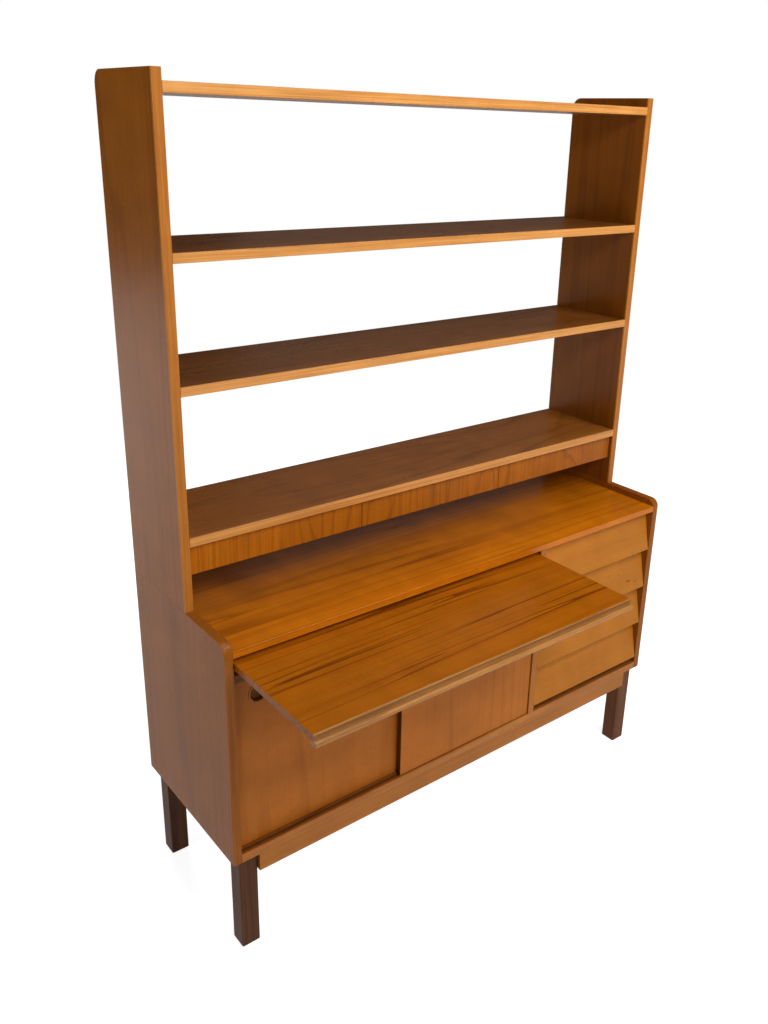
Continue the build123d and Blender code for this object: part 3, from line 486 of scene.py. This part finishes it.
def wood(
    name, kind, grain, wide, seed, box=None, lip=None, leaves=0.0, knots=(), ply=0.0, painted_shade=None
):
    """A procedural wood. grain and wide are the axes along and across the grain.

    box is the piece's (low, high), for its worn edges. leaves is the width of the veneer's
    leaves, ply the thickness of a three-ply sheet, and the last argument a function that
    paints shade: it gives what is left of the colour at (x, y, z), such as 0.4 in a hollow.
    """
    tone = WOODS[kind]
    material, g, shader, coordinates = new_material(name, tone["base"])
    place = coordinates["Object"]
    x, y, z = g.split(place)
    axes = {"X": x, "Y": y, "Z": z}
    thin = next(axis for axis in "XYZ" if axis not in (grain, wide))

    figure_seed = seed
    if leaves:
        number = leaf_number(g, axes[wide], leaves, seed)
        figure_seed = g.math("MULTIPLY_ADD", number, LEAF_JUMP, seed)
    f = fields(g, axes[grain], axes[wide], axes[thin], figure_seed, tone)
    colour = g.mix(f["Fibre"], tone["light"], tone["base"])
    for pattern in ("Ring", "Streak"):
        amount = g.math("MULTIPLY", f[pattern], tone[pattern.lower()])
        colour = g.mix(amount, colour, tone["dark"])

    shades = [
        g.math("MULTIPLY_ADD", f["Pore"], -PORE_SHADE, 1.0),
        g.math("MULTIPLY_ADD", f["Fibre"], FIBRE_SHADE, 1.0 - FIBRE_SHADE / 2),
    ]
    if leaves:
        shades.append(leaf_shade(g, axes[wide], leaves, number))
    if ply:
        low, high = box
        shades.append(ply_shade(g, axes[thin], low[AXIS[thin]], high[AXIS[thin]], ply))
    shades += [knot_shade(g, x, z, f["Fibre"], knot) for knot in knots]
    if tone["edge"]:
        shades.append(edge_shade(g, coordinates["Normal"], thin, tone["edge"]))
    # painted shade and shadow, multiplied into the colour
    if painted_shade:
        shades.append(painted_shade(g, x, y, z))
    total = g.math("MULTIPLY_ADD", f["Mottle"], tone["mottle"], 1.0 - tone["mottle"] / 2)
    for shade in shades:
        total = g.math("MULTIPLY", total, shade)
    colour = g.scale_colour(colour, total)

    seam_dip = 0.0
    if lip:
        colour, seam_dip = lipped(g, colour, axes, grain, seed, box, lip)
    xyz = g.combine(x, y, z)
    if box:
        colour = worn(g, colour, place, xyz, box, tone["light"])
    g.feed(shader.inputs["Base Color"], colour)

    smudge = g.noise(xyz, scale=SMUDGE_SCALE, detail=3.0)
    smudge = g.math("SUBTRACT", smudge, 0.5)
    rough = g.math("MULTIPLY_ADD", smudge, SMUDGE_ROUGHENS, tone["rough"])
    g.feed(shader.inputs["Roughness"], g.math("MULTIPLY_ADD", f["Pore"], PORE_ROUGHENS, rough))
    shader.inputs["IOR"].default_value = LACQUER_IOR
    shader.inputs["Specular IOR Level"].default_value = tone["gloss"]
    shader.inputs["Coat Weight"].default_value = tone["coat"]
    shader.inputs["Coat Roughness"].default_value = COAT_ROUGHNESS
    rise = g.math("MULTIPLY", f["Fibre"], FIBRE_RISE)
    height = g.math("ADD", g.math("MULTIPLY_ADD", f["Pore"], -PORE_DIP, rise), seam_dip)
    add_bump(g, shader, height, strength=0.35, distance=0.25 * MM)
    return material


def metal(name, colour, rough, mark_scale):
    """Plain metal with fine turning marks and a little tarnish."""
    material, g, shader, coordinates = new_material(name, colour)
    marks = g.noise(coordinates["Object"], scale=mark_scale, detail=4.0)
    spots = g.noise(coordinates["Object"], scale=TARNISH_SCALE, detail=3.0)
    tarnish = g.smooth(spots, *TARNISH_BAND)
    dark = tuple(TARNISH_SHADE * value for value in colour)
    g.feed(shader.inputs["Base Color"], g.mix(tarnish, colour, dark))
    shader.inputs["Metallic"].default_value = 1.0
    g.feed(shader.inputs["Roughness"], g.math("MULTIPLY_ADD", marks, MARKS_ROUGHEN, rough))
    add_bump(g, shader, marks, strength=0.2, distance=0.05 * MM)
    return material


def dress(obj, material):
    obj.data.materials.clear()
    obj.data.materials.append(material)


def soften(obj, width):
    """Small rounded edges on a CAD piece, made by modifiers on top of its own mesh."""
    weld = obj.modifiers.new("weld", "WELD")
    weld.merge_threshold = 0.02 * MM
    bevel = obj.modifiers.new("soft_edges", "BEVEL")
    bevel.width = width
    bevel.segments = 2
    bevel.limit_method = "ANGLE"
    bevel.angle_limit = math.radians(35.0)
    bevel.harden_normals = False
    bevel.use_clamp_overlap = True


# ---- carried-over CAD nodes ---------------------------------------------------------------

SOFT_EDGE = 0.5 * MM
SOFT_PIN_EDGE = 0.4 * MM
LIP_DEPTH = 4.0 * MM
SHELF = dict(lip=Lip("front", LIP_DEPTH, "solid", 0.0))
UPPER_SIDE = dict(lip=Lip("front", LIP_DEPTH, "edging", 0.0))
LOWER_SIDE = dict(lip=Lip("front_top", LIP_DEPTH, "side", 20 * MM))
SHEET = dict(ply=5 * MM)
LETTER_LEAF = 101 * MM
LEGS = ("front_left", "front_right", "rear_left", "rear_right")
KNOTS = {"drawer_2": ((0.545, 0.517, 0.0035), (0.572, 0.509, 0.0025), (0.510, 0.541, 0.002))}
# painted shadow of the bookcase on the worktop: where it begins and how dark it gets
UNDER_CASE = (STEP_END - 150 * MM, STEP_END + 40 * MM)
UNDER_CASE_SHADE = 0.25
AT_BACK = (STEP_END - 10 * MM, WORKTOP_BACK)
AT_BACK_SHADE = 0.50
# painted shadow of the writing slide on the doors' top
DOOR_SHADOW_REACH = (DOOR_TOP - 30 * MM, DOOR_TOP - 220 * MM)
DOOR_TOP_SHADE = 0.26


def painted_case_shadow(g, x, y, z):
    """Painted shadow of the bookcase on the worktop: darker under the case, darkest at the back.
    """
    under = g.math("MULTIPLY", g.smooth(y, *UNDER_CASE), UNDER_CASE_SHADE)
    back = g.math("MULTIPLY", g.smooth(y, *AT_BACK), AT_BACK_SHADE)
    return g.math("SUBTRACT", g.math("SUBTRACT", 1.0, under), back)


def painted_slide_shadow(g, x, y, z):
    """Painted shadow of the writing slide: the doors darken towards their top."""
    below = g.smooth(z, *DOOR_SHADOW_REACH)
    return g.math("MULTIPLY_ADD", below, DOOR_TOP_SHADE, 1.0 - DOOR_TOP_SHADE)


def painted_board_shade(amount):
    """Painted shade: a whole board darkened by one amount, for the shade it stands in."""
    return lambda g, x, y, z: amount


# node: (wood, grain axis, wide axis, seed, options)
plan = {
    "upper_side_left": ("side", "Z", "Y", 3.1, UPPER_SIDE),
    # painted shade on boards that stand in shade: the right upper side and the upper and middle
    # shelves
    "upper_side_right": ("side", "Z", "Y", 9.4, dict(painted_shade=painted_board_shade(0.82), **UPPER_SIDE)),
    "lower_side_left": ("side", "Z", "Y", 5.2, LOWER_SIDE),
    "lower_side_right": ("side", "Z", "Y", 7.9, LOWER_SIDE),
    "partition": ("side", "Z", "Y", 12.6, UPPER_SIDE),
    "bottom_panel": ("board", "X", "Y", 14.2, UPPER_SIDE),
    "top_board": ("board", "X", "Y", 21.3, SHELF),
    "upper_shelf": ("board", "X", "Y", 23.9, dict(painted_shade=painted_board_shade(0.66), **SHELF)),
    "middle_shelf": ("board", "X", "Y", 26.5, dict(painted_shade=painted_board_shade(0.72), **SHELF)),
    "lower_shelf": ("board", "X", "Y", 28.8, SHELF),
    # painted shadow of the bookcase on the worktop
    "worktop": ("top", "X", "Y", 31.7, dict(painted_shade=painted_case_shadow)),
    "writing_slide_board": ("slide", "X", "Y", 34.4, {}),
    "slide_deck": ("side", "X", "Y", 37.5, {}),
    "cupboard_shelf": ("board", "X", "Y", 39.1, SHELF),
    "front_rail": ("edging", "X", "Z", 41.2, {}),
    # painted shadow of the writing slide on both doors
    "left_door": ("door", "Z", "X", 43.3, dict(painted_shade=painted_slide_shadow)),
    "right_door": ("door", "Z", "X", 45.8, dict(painted_shade=painted_slide_shadow)),
    "letter_case_floor": ("beech", "X", "Y", 90.3, {}),
    "letter_case_dividers": ("beech", "Y", "Z", 91.6, {}),
    "dowels": ("beech", "X", "Y", 92.2, {}),
    "rear_rail": ("beech", "X", "Z", 93.1, {}),
    "side_rails": ("beech", "Y", "Z", 94.4, {}),
    "corner_blocks": ("beech", "Z", "X", 95.7, {}),
    "slide_stop_batten": ("beech", "X", "Y", 96.3, {}),
    "writing_slide_battens": ("beech", "Y", "X", 97.5, {}),
    "drawer_runners": ("beech", "Y", "Z", 98.8, {}),
    "lower_back_panel": ("ply", "X", "Z", 81.4, SHEET),
    "letter_case_back": ("ply", "X", "Z", 83.2, SHEET),
}
for number, name in enumerate(LEGS):
    # the front right leg gets the lighter copy: painted light
    kind = "painted_light_leg" if name == "front_right" else "leg"
    plan[f"{name}_leg"] = (kind, "Z", "X", 51.0 + 2.3 * number, {})
for number in range(1, 5):
    name, seed = f"drawer_{number}", 60.0 + 2.7 * number
    plan[f"{name}_front"] = ("drawer", "X", "Z", seed, dict(knots=KNOTS.get(name, ())))
    plan[f"{name}_sides"] = ("beech", "Y", "Z", seed + 0.6, {})
    plan[f"{name}_back"] = ("beech", "X", "Z", seed + 1.1, {})
    plan[f"{name}_bottom"] = ("ply", "X", "Y", seed + 1.9, SHEET)
for number in range(1, 4):
    name, seed = f"letter_drawer_{number}", 72.0 + 2.9 * number
    plan[f"{name}_front"] = ("letter", "Z", "X", seed, dict(leaves=LETTER_LEAF))
    plan[f"{name}_box"] = ("beech", "Y", "Z", seed + 1.3, {})

for node, (kind, grain, wide, seed, options) in plan.items():
    material = wood(f"{kind}_{node}", kind, grain, wide, seed, box=box_of(node), **options)
    dress(NODES[node], material)
    soften(NODES[node], SOFT_EDGE)


# ---- pieces that replace CAD nodes --------------------------------------------------------


def linked_mesh(name, work, material):
    """Turns a finished bmesh into an object of the scene."""
    mesh = bpy.data.meshes.new(name)
    work.to_mesh(mesh)
    work.free()
    mesh.materials.append(material)
    obj = bpy.data.objects.new(name, mesh)
    bpy.context.scene.collection.objects.link(obj)
    return obj


def new_piece(name, work, material, body, nodes):
    """A finished bmesh as a piece on a body, standing for the given CAD nodes."""
    work.normal_update()
    obj = linked_mesh(name, work, material)
    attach(obj, body)
    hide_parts(*nodes)
    return obj


def shade_by_angle(obj, degrees):
    """Smooth shading with sharp edges where faces meet at more than an angle."""
    for polygon in obj.data.polygons:
        polygon.use_smooth = True
    work = bmesh.new()
    work.from_mesh(obj.data)
    limit = math.radians(degrees)
    for edge in work.edges:
        edge.smooth = edge.is_manifold and edge.calc_face_angle(math.pi) < limit
    work.to_mesh(obj.data)
    work.free()


def arc(centre, radius, start, end, steps):
    """Points on a circle in a plane, angles in degrees."""
    points = []
    for step in range(steps + 1):
        angle = math.radians(start + (end - start) * step / steps)
        points.append((centre[0] + radius * math.cos(angle), centre[1] + radius * math.sin(angle)))
    return points


def spun(profile, segments):
    """A closed solid from a (radius, height) profile that starts and ends on the axis."""
    work = bmesh.new()
    rings = []
    for radius, height in profile:
        if radius < TINY:
            rings.append([work.verts.new((0.0, 0.0, height))])
            continue
        ring = []
        for step in range(segments):
            angle = 2 * math.pi * step / segments
            place = (radius * math.cos(angle), radius * math.sin(angle), height)
            ring.append(work.verts.new(place))
        rings.append(ring)
    for lower, upper in zip(rings, rings[1:]):
        for step in range(segments):
            after = (step + 1) % segments
            corners = [lower[step % len(lower)], lower[after % len(lower)]]
            corners += [upper[after % len(upper)], upper[step % len(upper)]]
            unique = list(dict.fromkeys(corners))
            if len(unique) > 2:
                work.faces.new(unique)
    bmesh.ops.recalc_face_normals(work, faces=work.faces)
    return work


PULL_SEGMENTS = 96
PULL_RAISED = 0.8 * MM                           # the rim, above the face of the door
PULL_BOWL = 18.5 * MM
PULL_FLOOR = -10.0 * MM
# painted shade of the pull: the fine line round its rim and its hollow bowl
PULL_LINE = (1.3 * MM, 0.7 * MM)                 # from the rim inwards
PULL_HOLLOW = (1.0 * MM, 5.0 * MM)               # below the rim
PULL_SHADE = 0.62


def pull_profile(low, high):
    """Section of a turned finger pull: rim, fine groove, dished bowl; height 0 is the door."""
    rim = (high[0] - low[0]) / 2
    back = PULL_RAISED - (high[1] - low[1])
    chamfer, rim_round, groove_round, floor_round = 0.5 * MM, 0.6 * MM, 0.7 * MM, 4.0 * MM
    profile = [(0.0, back), (rim - chamfer, back), (rim, back + chamfer), (rim, 0.1 * MM)]
    profile += arc((rim - rim_round, 0.2 * MM), rim_round, 0.0, 90.0, 5)
    profile += arc((PULL_BOWL + 1.3 * MM, 0.1 * MM), groove_round, 90.0, 180.0, 6)
    profile += [(PULL_BOWL + 0.25 * MM, -1.2 * MM), (PULL_BOWL - 0.2 * MM, -4.0 * MM)]
    profile += arc((PULL_BOWL - 4.2 * MM, PULL_FLOOR + floor_round), floor_round, 0.0, -80.0, 8)
    profile += [(7.0 * MM, PULL_FLOOR + 0.1 * MM), (0.0, PULL_FLOOR + 0.35 * MM)]
    return profile


def pull_painted_shade(centre, rim):
    """Painted shade in the bowl of a pull and in the fine groove round its rim."""

    def shade(g, x, y, z):
        bowl = g.smooth(y, *(centre.y + deep for deep in PULL_HOLLOW))
        away = g.length(g.math("SUBTRACT", x, centre.x), g.math("SUBTRACT", z, centre.z))
        line = g.smooth(away, *(rim - inward for inward in PULL_LINE))
        return g.math("MULTIPLY_ADD", g.math("MAXIMUM", bowl, line), -PULL_SHADE, 1.0)

    return shade


for side, body in (("left", "door_leaf_left"), ("right", "door_leaf_right")):
    node = f"{side}_door_pull"
    low, high = box_of(node)
    centre = Vector(((low[0] + high[0]) / 2, low[1] + PULL_RAISED, (low[2] + high[2]) / 2))
    work = spun(pull_profile(low, high), PULL_SEGMENTS)
    work.transform(Matrix.Translation(centre) @ Matrix.Rotation(math.radians(90.0), 4, "X"))
    # painted shade in the pull's bowl and round its rim
    bowl_painted_shade = pull_painted_shade(centre, (high[0] - low[0]) / 2)
    material = wood(f"pull_{side}", "pull", "Z", "X", 55.5 + low[0], painted_shade=bowl_painted_shade)
    pull = new_piece(f"turned_{node}", work, material, body, [node])
    shade_by_angle(pull, degrees=40.0)


NOSING_SLICES = 24
NOSING_EASE = 0.5 * MM
# How far below the nosing's top its painted shade in the cove and under the bead begins and ends.
COVE_HEAD = (1.2 * MM, 2.2 * MM)
COVE_FOOT = (11.5 * MM, 9.5 * MM)
COVE_SHADE = 0.42
BEAD_FOOT = (20.5 * MM, 22.5 * MM)
BEAD_SHADE = 0.45


def nosing_section(low, high):
    """(y, z) outline of the writing slide's nosing: lip, cove, bead, flat underside."""
    bottom, back, top = low[2], high[1], high[2]
    face = low[1] + 8.0 * MM
    land = face + 3.0 * MM
    under = top - 15.0 * MM
    lip_round, cove, bead, chamfer = 0.6 * MM, 4.9 * MM, 5.7 * MM, 3.0 * MM
    outline = [(land, top)]
    outline += arc((face + lip_round, top - lip_round), lip_round, 90.0, 180.0, 4)
    outline += [(face, top - 2.0 * MM)]
    outline += arc((face - 2.9 * MM, top - 6.7 * MM), cove, 68.0, -50.0, 12)[1:]
    outline += arc((face - 2.3 * MM, top - 17.6 * MM), bead, 62.0, 262.0, 22)
    outline += [(back - chamfer, bottom), (back, bottom + chamfer), (back, under), (land, under)]
    return outline


def swept_along_x(outline, x0, x1, slices, ease):
    """A closed prism along X from a (y, z) outline, whose ends are eased."""
    work = bmesh.new()
    count = len(outline)
    middle_y = sum(point[0] for point in outline) / count
    middle_z = sum(point[1] for point in outline) / count
    stations = [(x0, ease), (x0 + ease, 0.0)]
    run = x1 - x0 - 2 * ease
    stations += [(x0 + ease + run * s / slices, 0.0) for s in range(1, slices)]
    stations += [(x1 - ease, 0.0), (x1, ease)]
    rings = []
    for x, pull_in in stations:
        ring = []
        for y, z in outline:
            away = Vector((y - middle_y, z - middle_z))
            keep = 1.0 - pull_in / max(away.length, TINY)
            ring.append(work.verts.new((x, middle_y + away.x * keep, middle_z + away.y * keep)))
        rings.append(ring)
    for first, second in zip(rings, rings[1:]):
        for step in range(count):
            after = (step + 1) % count
            work.faces.new((first[step], first[after], second[after], second[step]))
    work.faces.new(list(reversed(rings[0])))
    work.faces.new(rings[-1])
    bmesh.ops.recalc_face_normals(work, faces=work.faces)
    return work


def nosing_painted_shade(top):
    """Painted shade in the nosing's cove and under its bead."""

    def shade(g, x, y, z):
        head, foot, below = (
            g.smooth(z, *(top - depth for depth in depths))
            for depths in (COVE_HEAD, COVE_FOOT, BEAD_FOOT)
        )
        cove = g.math("MULTIPLY", g.math("MULTIPLY", head, foot), COVE_SHADE)
        bead = g.math("MULTIPLY", below, BEAD_SHADE)
        return g.math("SUBTRACT", 1.0, g.math("MAXIMUM", cove, bead))

    return shade


low, high = box_of("writing_slide_nosing")
section = nosing_section(low, high)
# the nosing's wood carries painted shade in its cove and under its bead
nosing = new_piece(
    "profiled_writing_slide_nosing",
    swept_along_x(section, low[0], high[0], NOSING_SLICES, NOSING_EASE),
    wood("nosing_strip", "nosing", "X", "Z", 57.9, painted_shade=nosing_painted_shade(high[2])),
    "writing_slide",
    ["writing_slide_nosing"],
)
shade_by_angle(nosing, degrees=32.0)

SCREW_SEGMENTS = 28
SLOT_HALF = 0.45 * MM
SLOT_DEPTH = 0.9 * MM
SHORTEST_BASE_SCREW = 20 * MM                    # the screws of the back panel are shorter


def screw(work, place, direction, head_radius, head_height, shank_radius, length, slot_turn):
    """Adds a slotted countersunk screw to work.

    place is the middle of its head's face and direction the way it points.
    """
    eased, point = 0.25 * MM, 2.0 * MM
    flat, rim = head_radius * 0.55, head_height * 0.35
    profile = [(0.0, 0.0), (flat, 0.0), (head_radius - eased, 0.0)]
    profile += [(head_radius, eased), (head_radius, rim), (shank_radius, head_height)]
    if length > head_height * 1.5:
        profile += [(shank_radius, length - point), (0.0, length)]
    else:
        profile += [(0.0, head_height)]
    part = spun(profile, SCREW_SEGMENTS)
    for vertex in part.verts:
        across = vertex.co.x * math.cos(slot_turn) + vertex.co.y * math.sin(slot_turn)
        if abs(vertex.co.z) < TINY and abs(across) < SLOT_HALF * 2.2:
            vertex.co.z += SLOT_DEPTH
    turn = Vector((0.0, 0.0, 1.0)).rotation_difference(direction).to_matrix().to_4x4()
    part.transform(Matrix.Translation(place) @ turn)
    mesh = bpy.data.meshes.new("scratch")
    part.to_mesh(mesh)
    part.free()
    work.from_mesh(mesh)
    bpy.data.meshes.remove(mesh)


def loose_parts(node):
    """(low, high) of each separate solid of a CAD node."""
    work = bmesh.new()
    work.from_mesh(NODES[node].data)
    bmesh.ops.remove_doubles(work, verts=work.verts, dist=TINY)
    left = set(work.verts)
    boxes = []
    while left:
        stack = [left.pop()]
        points = []
        while stack:
            vertex = stack.pop()
            points.append(vertex.co.copy())
            for edge in vertex.link_edges:
                other = edge.other_vert(vertex)
                if other in left:
                    left.remove(other)
                    stack.append(other)
        low = Vector([min(point[i] for point in points) for i in range(3)])
        high = Vector([max(point[i] for point in points) for i in range(3)])
        boxes.append((low, high))
    work.free()
    return sorted(boxes, key=lambda pair: tuple(round(value, 5) for value in pair[0]))


draw = random.Random(4)
screws = bmesh.new()
for low, high in loose_parts("wood_screws"):
    size = high - low
    middle = (low + high) / 2
    turn = draw.uniform(0.0, math.pi)
    if size.x > SHORTEST_BASE_SCREW:
        outward = -1.0 if middle.x < 0 else 1.0
        place = Vector((low.x if outward > 0 else high.x, middle.y, middle.z))
        direction = Vector((outward, 0.0, 0.0))
        shape = dict(head_radius=5.0 * MM, head_height=3.0 * MM, shank_radius=2.5 * MM)
        length = size.x
    else:
        place = Vector((middle.x, high.y, middle.z))
        direction = Vector((0.0, -1.0, 0.0))
        shape = dict(head_radius=3.5 * MM, head_height=size.y, shank_radius=3.0 * MM)
        length = size.y
    screw(screws, place, direction, length=length, slot_turn=turn, **shape)
STEEL = metal("zinc_steel", (0.55, 0.56, 0.57), rough=0.28, mark_scale=900.0)
screw_piece = new_piece("slotted_wood_screws", screws, STEEL, "carcass", ["wood_screws"])
shade_by_angle(screw_piece, degrees=35.0)

BRASS = metal("shelf_pin_brass", (0.72, 0.52, 0.24), rough=0.22, mark_scale=700.0)
dress(NODES["shelf_pins"], BRASS)
soften(NODES["shelf_pins"], SOFT_PIN_EDGE)


# ---- stage, light and camera --------------------------------------------------------------

STAGE_RADIUS = 9.0
PAPER = (1.0, 1.0, 1.0, 1.0)
FLOOR_GREY = (0.62, 0.62, 0.62, 1.0)
FLOOR_FADE = (1.2, 4.0)                          # metres from the middle of the object
SEEN_GLOW = 0.70
BOUNCE_GLOW = 0.28
WHITE = (1.0, 1.0, 1.0)
WARM = (1.0, 0.98, 0.95)
COOL = (0.97, 0.98, 1.0)
AMBER = (1.0, 0.9, 0.78)
# name: (place, target, size, energy, colour, whether the wood's gloss mirrors it)
LIGHTS = {
    "key": ((-0.35, -1.9, 2.5), (0.1, 0.1, 0.9), (0.6, 0.45), 22.0, WARM, True),
    "right": ((0.9, -1.5, 2.9), (0.2, 0.0, 0.9), (0.8, 0.6), 24.0, WARM, True),
    "front": ((0.6, -3.2, 1.9), (0.0, 0.1, 0.9), (2.6, 1.8), 33.0, WHITE, False),
    "overhead": ((0.3, 0.0, 3.3), (0.1, -0.05, 0.7), (0.8, 0.5), 12.0, WHITE, True),
    "left_fill": ((-3.2, 0.3, 1.5), (-0.6, 0.2, 1.0), (1.0, 1.6), 20.0, COOL, True),
    "rear_glow": ((2.6, 3.4, 2.7), (0.0, 0.1, 1.0), (2.4, 1.0), 2.0, AMBER, True),
    "rear_fill": ((0.3, 3.4, 1.3), (0.0, 0.3, 0.7), (1.6, 1.6), 50.0, WHITE, False),
}
# The camera was fitted to the photo. Its angles are in radians, its lens in millimetres.
CAMERA_PLACE = (-1.29326, -1.41144, 1.62738)
YAW = 0.6888520
PITCH = 0.3531862
ROLL = 0.0320249
LENS = 32.962
SHIFT = (-0.03555, -0.04134)


def bare_material(name):
    """A material with nothing in its node tree yet, and its graph."""
    material = bpy.data.materials.new(name)
    material.use_nodes = True
    material.node_tree.nodes.clear()
    return material, Graph(material.node_tree)


def paper_glow(g, strength=1.0):
    glow = g.node("ShaderNodeEmission")
    glow.inputs["Color"].default_value = PAPER
    glow.inputs["Strength"].default_value = strength
    return glow.outputs[0]


def floor_material(name, near_strength):
    """Pale floor that fades into the backdrop's brightness away from the object."""
    material, g = bare_material(name)
    length = g.node("ShaderNodeVectorMath", operation="LENGTH")
    g.feed(length.inputs[0], g.node("ShaderNodeTexCoord").outputs["Object"])
    diffuse = g.node("ShaderNodeBsdfDiffuse")
    diffuse.inputs["Color"].default_value = FLOOR_GREY
    near = g.node("ShaderNodeAddShader")
    g.feed(near.inputs[0], paper_glow(g, near_strength))
    g.feed(near.inputs[1], diffuse.outputs[0])
    blend = g.node("ShaderNodeMixShader")
    g.feed(blend.inputs[0], g.smooth(length.outputs["Value"], *FLOOR_FADE))
    g.feed(blend.inputs[1], near.outputs[0])
    g.feed(blend.inputs[2], paper_glow(g))
    g.feed(g.node("ShaderNodeOutputMaterial").inputs["Surface"], blend.outputs[0])
    return material


def stage_mesh(name, work, material, unseen_by):
    """A part of the studio, left out of the rays that are named."""
    obj = linked_mesh(name, work, material)
    for rays in unseen_by:
        setattr(obj, f"visible_{rays}", False)


def floor_disc(name, near_strength, unseen_by):
    disc = bmesh.new()
    bmesh.ops.create_circle(disc, cap_ends=True, segments=96, radius=STAGE_RADIUS)
    stage_mesh(name, disc, floor_material(name, near_strength), unseen_by)


def area_light(name, place, target, size, energy, colour, mirrored):
    data = bpy.data.lights.new(name, "AREA")
    data.shape = "RECTANGLE"
    data.size, data.size_y = size
    data.energy = energy
    data.color = colour
    light = bpy.data.objects.new(name, data)
    light.location = place
    light.rotation_euler = (Vector(target) - Vector(place)).to_track_quat("-Z", "Y").to_euler()
    light.visible_glossy = mirrored
    bpy.context.scene.collection.objects.link(light)


# One disc is what the camera sees; the other, a little dimmer, is what lights the object.
floor_disc("studio_floor", SEEN_GLOW, ("diffuse", "glossy", "shadow"))
floor_disc("studio_bounce", BOUNCE_GLOW, ("camera", "shadow"))

dome = bmesh.new()
bmesh.ops.create_uvsphere(dome, u_segments=64, v_segments=32, radius=STAGE_RADIUS)
for face in dome.faces:
    face.smooth = True
backdrop, g = bare_material("pale_backdrop")
g.feed(g.node("ShaderNodeOutputMaterial").inputs["Surface"], paper_glow(g))
stage_mesh("studio_backdrop", dome, backdrop, ("diffuse", "glossy", "shadow"))

for name, settings in LIGHTS.items():
    area_light(name, *settings)

world = bpy.data.worlds.new("studio")
bpy.context.scene.world = world
world.use_nodes = True
background = world.node_tree.nodes["Background"]
background.inputs["Color"].default_value = (0.93, 0.96, 1.0, 1.0)
background.inputs["Strength"].default_value = 0.022

level = math.cos(PITCH)
forward = Vector((math.sin(YAW) * level, math.cos(YAW) * level, -math.sin(PITCH)))
right = Vector((math.cos(YAW), -math.sin(YAW), 0.0))
up = right.cross(forward)
right_rolled = right * math.cos(ROLL) + up * math.sin(ROLL)
up_rolled = up * math.cos(ROLL) - right * math.sin(ROLL)
camera_data = bpy.data.cameras.new("photo_view")
camera_data.sensor_width = 36.0
camera_data.lens = LENS
camera_data.shift_x, camera_data.shift_y = SHIFT
camera_data.clip_end = 60.0
camera = bpy.data.objects.new("photo_view", camera_data)
turn = Matrix((right_rolled, up_rolled, -forward)).transposed().to_4x4()
camera.matrix_world = Matrix.Translation(CAMERA_PLACE) @ turn
bpy.context.scene.collection.objects.link(camera)
bpy.context.scene.camera = camera

bpy.context.scene.view_settings.view_transform = "Standard"
bpy.context.scene.view_settings.look = "None"
